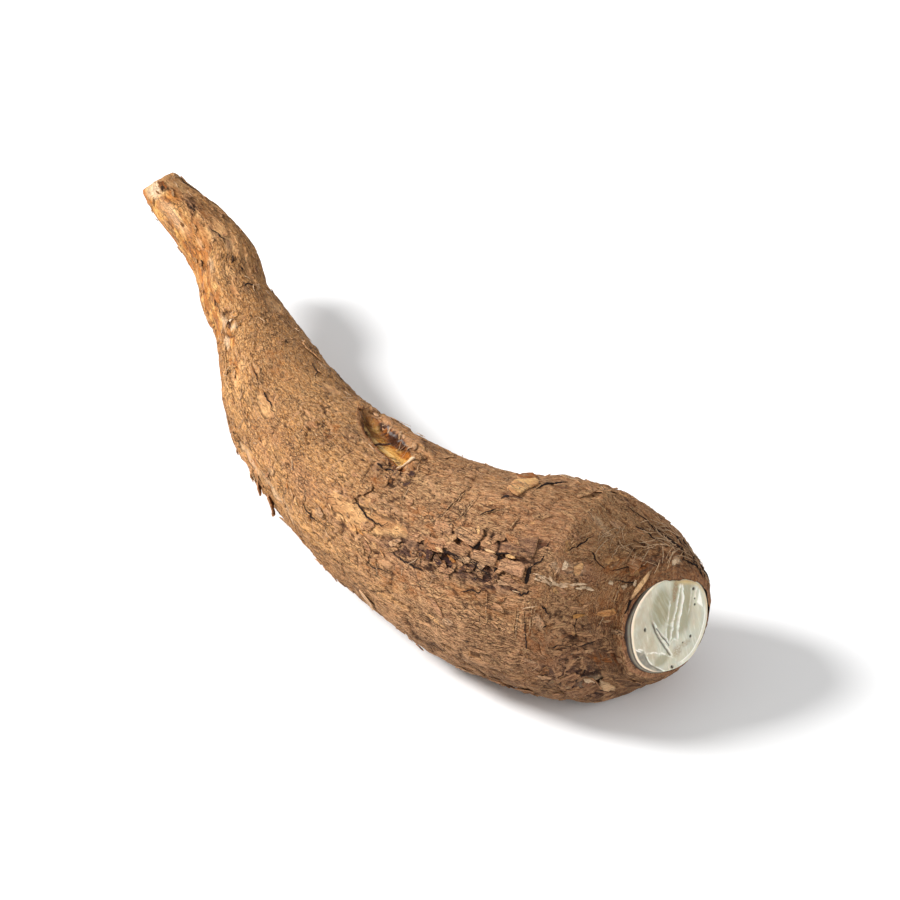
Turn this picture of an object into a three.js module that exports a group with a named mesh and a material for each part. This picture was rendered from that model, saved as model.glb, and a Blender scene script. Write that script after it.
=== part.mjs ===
import * as THREE from 'three';

// A cassava root, cut across at both ends and laid down as picked.
// Millimetres, +Z up, thick cut end towards +X. The origin is the bottom centre of the root's box.

// The root's middle line from the thin end to the thick one: x, y, z and the radius there.
const stations = [
  [-173.5, 22, 65, 8.5],
  [-163, 24, 57.5, 11],
  [-146.5, 27, 49.5, 13],
  [-126.5, 26.5, 42.5, 14.5],
  [-109, 19.5, 36, 15],
  [-90, 15.5, 30.5, 17],
  [-64.5, 7.5, 25, 21.5],
  [-32, -4, 24.5, 25.5],
  [2, -11.5, 26.5, 27.5],
  [37, -16.5, 30, 31],
  [71, -17.5, 33, 33.5],
  [99.5, -14.5, 36, 36],
  [123, -8, 38, 38.5],
  [141.5, 3, 38.5, 39.5],
  [152.5, 10, 37.5, 36.5],
  [160, 16.5, 36.5, 30],
  [167, 20.5, 36, 24.5],
  [175, 18, 37, 18],
];

// Each cut is a plane, and the rings lean over to lie in it within this length of the end.
const thickCut = { normal: new THREE.Vector3(0.951, 0.046, 0.307).normalize(), lean: 62 };
const thinCut = { normal: new THREE.Vector3(-0.633, -0.153, 0.758).normalize(), lean: 14 };

// How finely the surface is divided, along and around.
const rings = 120;
const sides = 48;

// The bark stops short of the thick cut, and the paler layer under it runs on to the knife's plane.
const barkEnd = { setback: 2.6, thickness: 1, edge: 0.4 };
const tipBevel = { length: 1.4, depth: 0.7 };

// Flat of the underside: the relief fades out below this height, and nothing goes below the surface.
const pressedHeight = 3;

// Bark plates: irregular cells along and around the root, each a step higher or lower than the next.
const bark = { plateLength: 15, platesAround: 14, step: 1.6, crack: 0.9, crackWidth: 0.18, shoulder: 0.22 };

// Broad swellings: height, length of a wave along the root, waves around it, and where it starts.
const swellings = [
  { height: 0.6, length: 190, around: 2, start: 0.7 },
  { height: 0.45, length: 105, around: -3, start: 2.1 },
  { height: 0.35, length: 58, around: 1, start: 4 },
  { height: 0.25, length: 41, around: -5, start: 1.2 },
];

// Marks by their middle: distance from the thin end, angle round the root (0 is +Y, 90 is the top),
// half length, half width, slant away from the root's own direction, and height or depth.
const marks = {
  wound: { at: 238, angle: 85, half: [29, 5.2], slant: 16, height: -3.6 },
  woundLip: { at: 240, angle: 71, half: [30, 3.4], slant: 16, height: 2.4 },
  woundCrumble: { at: 262, angle: 108, half: [9, 6], slant: 30, height: -1.5 },
  smoothPatch: { at: 263, angle: 143, half: [24, 6], slant: -6, height: -1 },
  smoothPatchEdge: { at: 264, angle: 131, half: [20, 2.6], slant: -6, height: 1 },
  tanPatch: { at: 170, angle: 130, half: [14, 5.5], slant: 0, height: -1 },
  neckPeel: { at: 62, angle: 162, half: [46, 7.5], slant: 3, height: -0.9 },
  neckKnot: { at: 103, angle: 131, half: [5, 3.6], slant: 0, height: 1.8 },
  neckHollow: { at: 92, angle: 138, half: [4, 3], slant: 0, height: -1.5 },
  sidePeel: { at: 172, angle: 184, half: [16, 5], slant: -6, height: -1 },
  undersidePeel: { at: 205, angle: 320, half: [24, 9], slant: 12, height: -1 },
  backPeel: { at: 290, angle: 22, half: [26, 9], slant: -14, height: -1.1 },
  collar: { at: 352, angle: 213, half: [5, 17], slant: 0, height: 1.1 },
};

// Loose flakes of bark, as wedges that rise along their length and break off sharply at the far end.
const flakes = [
  { at: 312, angle: 79, half: [12, 5], heading: 100, height: 3.6 },
  { at: 196, angle: 199, half: [8, 5], heading: 20, height: 3.4 },
  { at: 179, angle: 203, half: [7, 5], heading: -25, height: 2 },
  { at: 356, angle: 197, half: [7, 6], heading: 60, height: 2 },
  { at: 326, angle: 133, half: [9, 6], heading: -15, height: 1.5 },
  { at: 300, angle: 138, half: [9, 6], heading: 190, height: 1.5 },
  { at: 265, angle: 103, half: [6, 3.6], heading: 10, height: 2 },
  { at: 242, angle: 12, half: [10, 6], heading: 35, height: 2.2 },
  { at: 140, angle: 55, half: [9, 5], heading: 170, height: 1.6 },
  { at: 300, angle: 345, half: [10, 6], heading: 15, height: 1.8 },
];

// Raised lines of pores that run part of the way round: place, first and last angle.
const poreLine = { height: 0.8, halfWidth: 2.2 };
const poreLines = [
  [296, 98, 120], [301, 106, 128], [317, 100, 116], [317, 152, 168], [326, 155, 174], [340, 150, 170],
  [358, 136, 150], [337, 104, 118], [257, 178, 192], [216, 162, 176], [163, 156, 172], [152, 140, 152],
  [128, 60, 84], [188, 30, 52], [229, 350, 372], [274, 318, 338], [318, 20, 44], [344, 352, 370],
  [285, 200, 216], [238, 216, 232], [196, 250, 268], [110, 300, 330], [145, 230, 250],
];

const fullTurn = 2 * Math.PI;
const up = new THREE.Vector3(0, 0, 1);

// A repeatable draw between 0 and 1 from two whole numbers and a seed.
function draw(a, b, seed) {
  const value = Math.sin(a * 127.1 + b * 311.7 + seed * 74.7) * 43758.5453;
  return value - Math.floor(value);
}

const smooth = (from, to, value) => THREE.MathUtils.smoothstep(value, from, to);

// The middle line and the girth as curves through the stations.
const middleLine = new THREE.CatmullRomCurve3(
  stations.map(([x, y, z]) => new THREE.Vector3(x, y, z)), false, 'catmullrom', 0.5);
const girth = new THREE.CatmullRomCurve3(
  stations.map(([, , , radius]) => new THREE.Vector3(radius, 0, 0)), false, 'catmullrom', 0.5);
middleLine.arcLengthDivisions = 4000;
const rootLength = middleLine.getLength();

// Where a mark's own length and width lie at a point of the surface, in mm from its middle.
function fromMiddle(mark, along, turn, radius, heading) {
  const round = turn - THREE.MathUtils.degToRad(mark.angle);
  const across = radius * Math.atan2(Math.sin(round), Math.cos(round));
  const forward = along - mark.at;
  const cos = Math.cos(THREE.MathUtils.degToRad(heading));
  const sin = Math.sin(THREE.MathUtils.degToRad(heading));
  return [forward * cos + across * sin, across * cos - forward * sin];
}

// Broad swellings, smaller where the root is thin.
function swelling(along, turn, radius) {
  const waves = swellings.map(({ height, length, around, start }) =>
    height * Math.sin(fullTurn * along / length + around * turn + start));
  return waves.reduce((sum, wave) => sum + wave, 0) * radius / 39;
}

// Bark plates with cracks between them.
function plates(along, turn) {
  const u = along / bark.plateLength;
  const v = turn / fullTurn * bark.platesAround;
  let nearest = Infinity;
  let second = Infinity;
  let level = 0;
  for (let column = Math.floor(u) - 1; column <= Math.floor(u) + 1; column += 1) {
    for (let row = Math.floor(v) - 1; row <= Math.floor(v) + 1; row += 1) {
      const place = (row + bark.platesAround) % bark.platesAround;
      const du = column + 0.1 + 0.8 * draw(column, place, 1) - u;
      const dv = row + 0.1 + 0.8 * draw(column, place, 2) - v;
      const distance = Math.hypot(du, dv);
      if (distance < nearest) {
        second = nearest;
        nearest = distance;
        level = draw(column, place, 3) - 0.5;
      } else if (distance < second) {
        second = distance;
      }
    }
  }
  const edge = second - nearest;
  return bark.step * level * smooth(0, bark.shoulder, edge) - bark.crack * (1 - smooth(0, bark.crackWidth, edge));
}

// Hollows and raised places with a rounded edge.
function mark(shape, along, turn, radius) {
  const [length, width] = fromMiddle(shape, along, turn, radius, shape.slant);
  const reach = Math.hypot(length / shape.half[0], width / shape.half[1]);
  return shape.height * (1 - smooth(0.55, 1.1, reach));
}

// A wedge that climbs towards its heading and drops off at the end.
function flake(shape, along, turn, radius) {
  const [length, width] = fromMiddle(shape, along, turn, radius, shape.heading);
  const climb = THREE.MathUtils.clamp((length / shape.half[0] + 1) / 2, 0, 1);
  const inside = 1 - smooth(0.75, 1.05, Math.max(Math.abs(length) / shape.half[0], Math.abs(width) / shape.half[1]));
  return shape.height * climb * inside;
}

// A low ridge across the root between two angles.
function pores([at, first, last], along, turn) {
  const degrees = THREE.MathUtils.radToDeg(turn);
  const inside = [degrees, degrees + 360].some((angle) => angle >= first && angle <= last);
  return inside ? poreLine.height * Math.max(0, 1 - Math.abs(along - at) / poreLine.halfWidth) : 0;
}

// The whole relief over the plain tapered body, in mm outwards.
function relief(along, turn, radius, room) {
  const marked = Object.values(marks).reduce((sum, shape) => sum + mark(shape, along, turn, radius), 0);
  const flaked = flakes.reduce((sum, shape) => sum + flake(shape, along, turn, radius), 0);
  const lined = poreLines.reduce((sum, line) => sum + pores(line, along, turn), 0);
  const plated = plates(along, turn) * THREE.MathUtils.clamp(radius / 30, 0.45, 1);
  const barkOff = -barkEnd.thickness * smooth(0, barkEnd.edge, along - (rootLength - barkEnd.setback));
  const bevel = -tipBevel.depth * (1 - smooth(0, tipBevel.length, along));
  const bare = room * (1 - smooth(0, 1, along - (rootLength - barkEnd.setback)));
  return swelling(along, turn, radius) + (marked + flaked + lined + plated) * bare + barkOff + bevel;
}

// Centre, radius and the two arms of a ring, leaned over to the cut planes near the ends.
function ringFrame(along) {
  const t = middleLine.getUtoTmapping(THREE.MathUtils.clamp(along / rootLength, 0, 1));
  const centre = middleLine.getPoint(t);
  const radius = girth.getPoint(t).x;
  const tangent = middleLine.getTangent(t);
  const side = up.clone().cross(tangent).normalize();
  const top = tangent.clone().cross(side);
  const leans = [
    [thickCut, smooth(0, 1, (along - rootLength + thickCut.lean) / thickCut.lean)],
    [thinCut, smooth(0, 1, 1 - along / thinCut.lean)],
  ];
  for (const [{ normal }, weight] of leans) {
    for (const arm of [side, top]) {
      arm.addScaledVector(tangent, -weight * arm.dot(normal) / tangent.dot(normal));
    }
  }
  return { centre, radius, side, top };
}

// Direction from the middle line out to the surface.
function armOf(frame, turn) {
  return frame.side.clone().multiplyScalar(Math.cos(turn)).addScaledVector(frame.top, Math.sin(turn));
}

// The relief is weaker where the bends and the leaned rings press the surface together.
const roomStep = 1.5;
const leastRoom = 0.15;

function roomFor(before, after, turn) {
  const [from, to] = [before, after].map((f) => f.centre.clone().addScaledVector(armOf(f, turn), f.radius));
  return THREE.MathUtils.clamp(from.distanceTo(to) / (2 * roomStep), leastRoom, 1);
}

// One ring of points with its relief.
function ring(along) {
  const frame = ringFrame(along);
  const place = THREE.MathUtils.clamp(along, roomStep, rootLength - roomStep);
  const [before, after] = [ringFrame(place - roomStep), ringFrame(place + roomStep)];
  return Array.from({ length: sides }, (_, i) => {
    const turn = fullTurn * i / sides;
    const arm = armOf(frame, turn);
    const pressed = smooth(0, pressedHeight, frame.centre.z + frame.radius * arm.z);
    const height = relief(along, turn, frame.radius, roomFor(before, after, turn));
    const point = frame.centre.clone().addScaledVector(arm, frame.radius + height * pressed);
    point.z = Math.max(point.z, 0);
    return point;
  });
}

// The closed body: rings from end to end, and a flat fan over each cut.
function rootGeometry() {
  const barkLength = rootLength - barkEnd.setback;
  const places = Array.from({ length: rings }, (_, i) => barkLength * i / (rings - 1));
  places.push(barkLength + barkEnd.edge, rootLength);
  const points = places.flatMap((along) => ring(along));
  const first = points.length;
  const last = first + 1;
  points.push(middleLine.getPoint(0), middleLine.getPoint(1));
  const index = [];
  for (let i = 0; i < sides; i += 1) {
    const next = (i + 1) % sides;
    for (let j = 0; j < places.length - 1; j += 1) {
      const here = j * sides;
      const beyond = here + sides;
      index.push(here + i, here + next, beyond + next, here + i, beyond + next, beyond + i);
    }
    const end = (places.length - 1) * sides;
    index.push(first, next, i, last, end + i, end + next);
  }
  const geometry = new THREE.BufferGeometry().setFromPoints(points);
  geometry.setIndex(index);
  geometry.computeBoundingBox();
  const { min, max } = geometry.boundingBox;
  geometry.translate(-(min.x + max.x) / 2, -(min.y + max.y) / 2, 0);
  geometry.computeVertexNormals();
  return geometry;
}

const root = new THREE.Mesh(
  rootGeometry(),
  new THREE.MeshStandardMaterial({ color: 0x936d4b, roughness: 0.85, metalness: 0 }),
);
root.name = 'cassava_root';

const group = new THREE.Group();
group.add(root);

export default group;
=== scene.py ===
# The looks of a cassava root: its bark, peeled places, wound, loose flakes and knife cuts.
import math
import bpy
import numpy as np
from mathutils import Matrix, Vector


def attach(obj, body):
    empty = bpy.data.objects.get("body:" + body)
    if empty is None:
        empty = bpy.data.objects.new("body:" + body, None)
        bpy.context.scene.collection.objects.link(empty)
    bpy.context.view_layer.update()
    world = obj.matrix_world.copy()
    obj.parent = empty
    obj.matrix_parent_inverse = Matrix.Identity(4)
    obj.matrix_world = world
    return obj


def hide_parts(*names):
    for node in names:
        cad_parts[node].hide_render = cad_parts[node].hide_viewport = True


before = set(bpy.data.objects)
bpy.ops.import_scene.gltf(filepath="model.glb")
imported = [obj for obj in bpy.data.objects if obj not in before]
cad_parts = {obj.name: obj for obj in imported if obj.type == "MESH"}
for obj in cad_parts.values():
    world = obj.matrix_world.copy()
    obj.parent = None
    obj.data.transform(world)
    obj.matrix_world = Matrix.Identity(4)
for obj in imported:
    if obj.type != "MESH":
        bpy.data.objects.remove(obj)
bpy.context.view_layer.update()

millimetre = 0.001
fullTurn = 2 * math.pi

# The root's shape, in mm, as in the part: middle line and radius, cuts, and the move to its origin
rootShape = {
    "stations": [
        (-173.5, 22, 65, 8.5), (-163, 24, 57.5, 11), (-146.5, 27, 49.5, 13), (-126.5, 26.5, 42.5, 14.5),
        (-109, 19.5, 36, 15), (-90, 15.5, 30.5, 17), (-64.5, 7.5, 25, 21.5), (-32, -4, 24.5, 25.5),
        (2, -11.5, 26.5, 27.5), (37, -16.5, 30, 31), (71, -17.5, 33, 33.5), (99.5, -14.5, 36, 36),
        (123, -8, 38, 38.5), (141.5, 3, 38.5, 39.5), (152.5, 10, 37.5, 36.5), (160, 16.5, 36.5, 30),
        (167, 20.5, 36, 24.5), (175, 18, 37, 18),
    ],
    "moved": (-0.34, -0.31, 0),
    "thickCut": {"normal": (0.951, 0.046, 0.307), "lean": 62},
    "thinCut": {"normal": (-0.633, -0.153, 0.758), "lean": 14},
    "barkSetback": 2.6,
    "barkThickness": 1.0,
    "tipBevel": (1.4, 0.7),
    "pressedHeight": 3,
}

# Broad swellings: height, wave length, waves around, start
swellings = [(0.6, 190, 2, 0.7), (0.45, 105, -3, 2.1), (0.35, 58, 1, 4), (0.25, 41, -5, 1.2)]

# Large bark plates, as in the part
bigPlates = {"length": 15, "around": 14, "step": 1.6, "crack": 0.9, "crackWidth": 0.12, "shoulder": 0.16}

# Hollows and raised places: distance along, angle round, half length, half width, slant, height
hollows = {
    "wound": (238, 85, 29, 5.2, 16, -3.6),
    "woundLip": (240, 71, 30, 3.4, 16, 1.7),
    "woundCrumble": (262, 108, 9, 6, 30, -1.5),
    "smoothPatch": (263, 143, 24, 6, -6, -1),
    "smoothPatchEdge": (264, 131, 20, 2.6, -6, 1),
    "tanPatch": (170, 130, 14, 5.5, 0, -1),
    "neckPeel": (62, 162, 46, 7.5, 3, -0.9),
    "neckKnot": (103, 131, 5, 3.6, 0, 1.8),
    "neckHollow": (92, 138, 4, 3, 0, -1.5),
    "sidePeel": (172, 184, 16, 5, -6, -1),
    "undersidePeel": (205, 320, 24, 9, 12, -1),
    "backPeel": (290, 22, 26, 9, -14, -1.1),
    "collar": (352, 213, 5, 17, 0, 1.1),
}
peeledPlaces = ["smoothPatch", "tanPatch", "neckPeel", "sidePeel", "undersidePeel", "backPeel"]


def smoothStep(low, high, value):
    t = np.clip((value - low) / (high - low), 0, 1)
    return t * t * (3 - 2 * t)


def unit(v):
    return v / np.linalg.norm(v, axis=-1, keepdims=True)


def vec(*parts):  # points from their coordinates
    return np.stack(parts, axis=-1)


def wrapped(turn):  # the same angle between minus and plus half a turn
    return np.arctan2(np.sin(turn), np.cos(turn))


def awayFrom(turn, degrees):  # how far round from a given angle, either way
    return np.abs(wrapped(turn - math.radians(degrees)))


def evenRound(count):  # angles at even steps round a circle
    return np.arange(count) / count * fullTurn


# Repeatable random numbers and noise

def draw(a, b, seed):  # between 0 and 1 from two whole numbers, the same as in the part
    value = np.sin(a * 127.1 + b * 311.7 + seed * 74.7) * 43758.5453
    return value - np.floor(value)


def scatter(ix, iy, iz, seed):  # between 0 and 1 from three whole numbers
    h = (ix * 374761393 + iy * 668265263 + iz * 1440662683 + seed * 1274126177) & 0xffffffff
    h = ((h ^ (h >> 13)) * 1274126177) & 0xffffffff
    h = ((h ^ (h >> 16)) * 668265263) & 0xffffffff
    return (h ^ (h >> 15)) / 4294967295


def softNoise(p, seed):  # smooth value noise between -1 and 1
    base = np.floor(p).astype(np.int64)
    f = p - base
    f = f * f * f * (f * (f * 6 - 15) + 10)
    total = 0
    for corner in np.ndindex(2, 2, 2):
        wx, wy, wz = (f[..., k] if far else 1 - f[..., k] for k, far in enumerate(corner))
        ix, iy, iz = (base[..., k] + far for k, far in enumerate(corner))
        total = total + wx * wy * wz * scatter(ix, iy, iz, seed)
    return 2 * total - 1


def layeredNoise(p, seed, octaves=4, gain=0.5):
    total = 0
    size = 1
    norm = 0
    for octave in range(octaves):
        total = total + size * softNoise(p * 2 ** octave, seed + octave)
        norm += size
        size *= gain
    return total / norm


def cells(p, seed):  # nearest and second distance, the cell's own draws, and where p lies in the cell
    base = np.floor(p).astype(np.int64)
    nearest = np.full(p.shape[:-1], 9.0)
    second = nearest.copy()
    own = np.zeros(p.shape[:-1] + (3,))
    inside = np.zeros(p.shape)
    for step in np.ndindex(3, 3, 3):
        cell = [base[..., k] + step[k] - 1 for k in range(3)]
        gap = p - vec(*(cell[k] + scatter(*cell, seed + k) for k in range(3)))
        distance = np.linalg.norm(gap, axis=-1)
        closer = distance < nearest
        second = np.where(closer, nearest, np.minimum(second, distance))
        nearest = np.where(closer, distance, nearest)
        draws = vec(*(scatter(*cell, seed + k) for k in (3, 4, 5)))
        own = np.where(closer[..., None], draws, own)
        inside = np.where(closer[..., None], gap, inside)
    return nearest, second, own, inside


# The middle line

stations = np.array(rootShape["stations"], float)
moved = np.array(rootShape["moved"])
thickNormal = unit(np.array(rootShape["thickCut"]["normal"]))
thinNormal = unit(np.array(rootShape["thinCut"]["normal"]))


def catmullRom(points, t):
    count = len(points) - 1
    place = np.clip(t, 0, 1) * count
    i = np.minimum(place.astype(int), count - 1)
    f = (place - i)[..., None]
    padded = np.vstack([2 * points[0] - points[1], points, 2 * points[-1] - points[-2]])
    a, b, c, d = (padded[i + k] for k in range(4))
    slopeB, slopeC = (c - a) / 2, (d - b) / 2
    return ((2 * f**3 - 3 * f**2 + 1) * b + (f**3 - 2 * f**2 + f) * slopeB
            + (3 * f**2 - 2 * f**3) * c + (f**3 - f**2) * slopeC)


fineT = np.linspace(0, 1, 4001)
fineSteps = np.diff(catmullRom(stations[:, :3], fineT), axis=0)
fineRun = np.concatenate([[0], np.cumsum(np.linalg.norm(fineSteps, axis=1))])
rootLength = fineRun[-1]
barkLength = rootLength - rootShape["barkSetback"]
print("middle line", round(rootLength, 1), "mm")


def bodyFrame(along):  # centre, radius and the two arms of the ring at a distance along the root
    t = np.interp(along, fineRun, fineT)
    line = catmullRom(stations, t)
    step = 0.0001
    before = catmullRom(stations[:, :3], np.maximum(t - step, 0))
    after = catmullRom(stations[:, :3], np.minimum(t + step, 1))
    tangent = unit(after - before)
    side = unit(np.cross((0, 0, 1.0), tangent))
    top = np.cross(tangent, side)
    thickLean, thinLean = rootShape["thickCut"]["lean"], rootShape["thinCut"]["lean"]
    weights = [
        (thickNormal, smoothStep(0, 1, (along - rootLength + thickLean) / thickLean)),
        (thinNormal, smoothStep(0, 1, 1 - along / thinLean)),
    ]
    arms = []
    for arm in (side, top):
        for normal, weight in weights:
            arm = arm - (weight * (arm @ normal) / (tangent @ normal))[..., None] * tangent
        arms.append(arm)
    return line[..., :3], line[..., 3], arms[0], arms[1]


# How far the surface itself runs: bends and leaned rings stretch it on one side and press it on the other

def armOf(along, turn):  # centre, radius and the arm out from the middle line
    centre, radius, side, top = bodyFrame(along)
    return centre, radius, side * np.cos(turn)[..., None] + top * np.sin(turn)[..., None]


tableRows = 500
middleRow = tableRows // 2
tableAlong = np.linspace(0, rootLength, tableRows)
tableTurn = np.radians(np.arange(0, 361, 3))
tableCentre, tableRadius, tableArm = armOf(*np.meshgrid(tableAlong, tableTurn, indexing="ij"))
tablePoints = tableCentre + tableArm * tableRadius[..., None]
runTable = np.cumsum(np.linalg.norm(np.diff(tablePoints, axis=0, prepend=tablePoints[:1]), axis=-1), axis=0)
runTable = runTable - runTable[middleRow] + tableAlong[middleRow]
roomTable = np.gradient(runTable, tableAlong, axis=0)


def fromTable(table, along, turn):
    row = np.clip(along / rootLength, 0, 1) * (len(tableAlong) - 1.001)
    column = np.mod(turn / fullTurn, 1) * (len(tableTurn) - 1.001)
    i, j = row.astype(int), column.astype(int)
    f, g = row - i, column - j
    first = table[i, j] * (1 - g) + table[i, j + 1] * g
    return first * (1 - f) + (table[i + 1, j] * (1 - g) + table[i + 1, j + 1] * g) * f


def radiusAt(at):
    return bodyFrame(np.array([float(at)]))[1][0]


def roomAt(at, angle):  # how far the surface is stretched at one place
    return fromTable(roomTable, np.array([float(at)]), np.radians([angle]))[0]


# Relief over the plain tapered body, in mm outwards

def fromMiddle(place, along, turn, radius, heading):
    across = radius * wrapped(turn - math.radians(place[1]))
    forward = along - place[0]
    c, s = math.cos(math.radians(heading)), math.sin(math.radians(heading))
    return forward * c + across * s, across * c - forward * s


def reachOf(name, along, turn, radius):  # 0 in the middle of a marked place, 1 at its edge
    place = hollows[name]
    length, width = fromMiddle(place, along, turn, radius, place[4])
    return np.hypot(length / place[2], width / place[3])


def broadRelief(along, turn, radius):
    total = 0
    for height, length, around, start in swellings:
        total = total + height * np.sin(fullTurn * along / length + around * turn + start)
    return total * radius / 39


def plateRelief(along, turn):
    u = along / bigPlates["length"]
    v = np.mod(turn / fullTurn, 1) * bigPlates["around"]
    nearest = np.full(u.shape, 9.0)
    second = nearest.copy()
    level = np.zeros(u.shape)
    for dc in (-1, 0, 1):
        for dr in (-1, 0, 1):
            column, row = np.floor(u) + dc, np.floor(v) + dr
            place = np.mod(row, bigPlates["around"])
            du = column + 0.1 + 0.8 * draw(column, place, 1) - u
            dv = row + 0.1 + 0.8 * draw(column, place, 2) - v
            distance = np.hypot(du, dv)
            closer = distance < nearest
            second = np.where(closer, nearest, np.minimum(second, distance))
            nearest = np.where(closer, distance, nearest)
            level = np.where(closer, draw(column, place, 3) - 0.5, level)
    edge = second - nearest
    crack = 1 - smoothStep(0, bigPlates["crackWidth"], edge)
    return bigPlates["step"] * level * smoothStep(0, bigPlates["shoulder"], edge), crack, level


def hollowRelief(along, turn, radius):
    total = 0
    for name, place in hollows.items():
        total = total + place[5] * (1 - smoothStep(0.7, 1.08, reachOf(name, along, turn, radius)))
    return total


# The bark: one closed body with its fine relief and the maps that its colours follow

barkBody = {
    "rings": 436, "sides": 222,
    "denser": 0.26, "densestAngle": 135,  # more points on the upper and front side
    "barestAngle": 170, "goldenAngle": 187, "trimmedAngle": 312,
    "raggedness": 2.0,                    # mm that edges wander
    "peelDepth": 0.5, "scaleStep": 0.6, "scaleTilt": 0.4, "crackDepth": 0.6,
    "terraceStep": 0.42, "fibre": 0.2, "slitDepth": 0.35, "pimple": 0.1,
    "gapWide": 0.7, "gapAngle": 146, "gapDeep": 1.8,  # where the bark stands off the flesh at the thick cut
}

# The thick cut's edge: angle, then in mm how far the flesh stands in and how far the bark runs on
cutEdge = np.array([
    (0, -1.5, 1.5), (15, -1.4, 1.7), (31, -0.7, 2.0), (48, 0.9, 2.4), (62, 1.9, 2.7), (80, 1.5, 2.7),
    (104, -0.2, 2.1), (120, -0.7, 1.5), (135, -0.7, 1.2), (145, -0.6, 0.9), (156, -0.2, 0.5),
    (176, 0.7, 0.3), (197, 1.0, 0.3), (228, 0.8, 0.4), (249, 0.2, 0.9), (264, -0.3, 1.1),
    (279, -1.0, 0.4), (300, -1.7, 0.1), (320, -1.8, 0.1), (338, -1.7, 0.5), (350, -1.6, 1.2),
    (360, -1.5, 1.5),
])

# Where the bark is cracked into strong plates: distance along, angle, half length, half width, strength
crackedPlaces = [
    (312, 131, 24, 10, 1.0), (304, 145, 26, 8, 0.9), (352, 172, 18, 26, 0.6), (262, 110, 12, 9, 0.9),
    (352, 205, 12, 18, 0.8), (120, 92, 20, 9, 0.5), (330, 40, 30, 18, 0.6), (240, 350, 34, 16, 0.6),
    (290, 300, 40, 14, 0.45), (352, 132, 14, 6, 0.7), (366, 90, 6, 22, 0.6),
]

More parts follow.
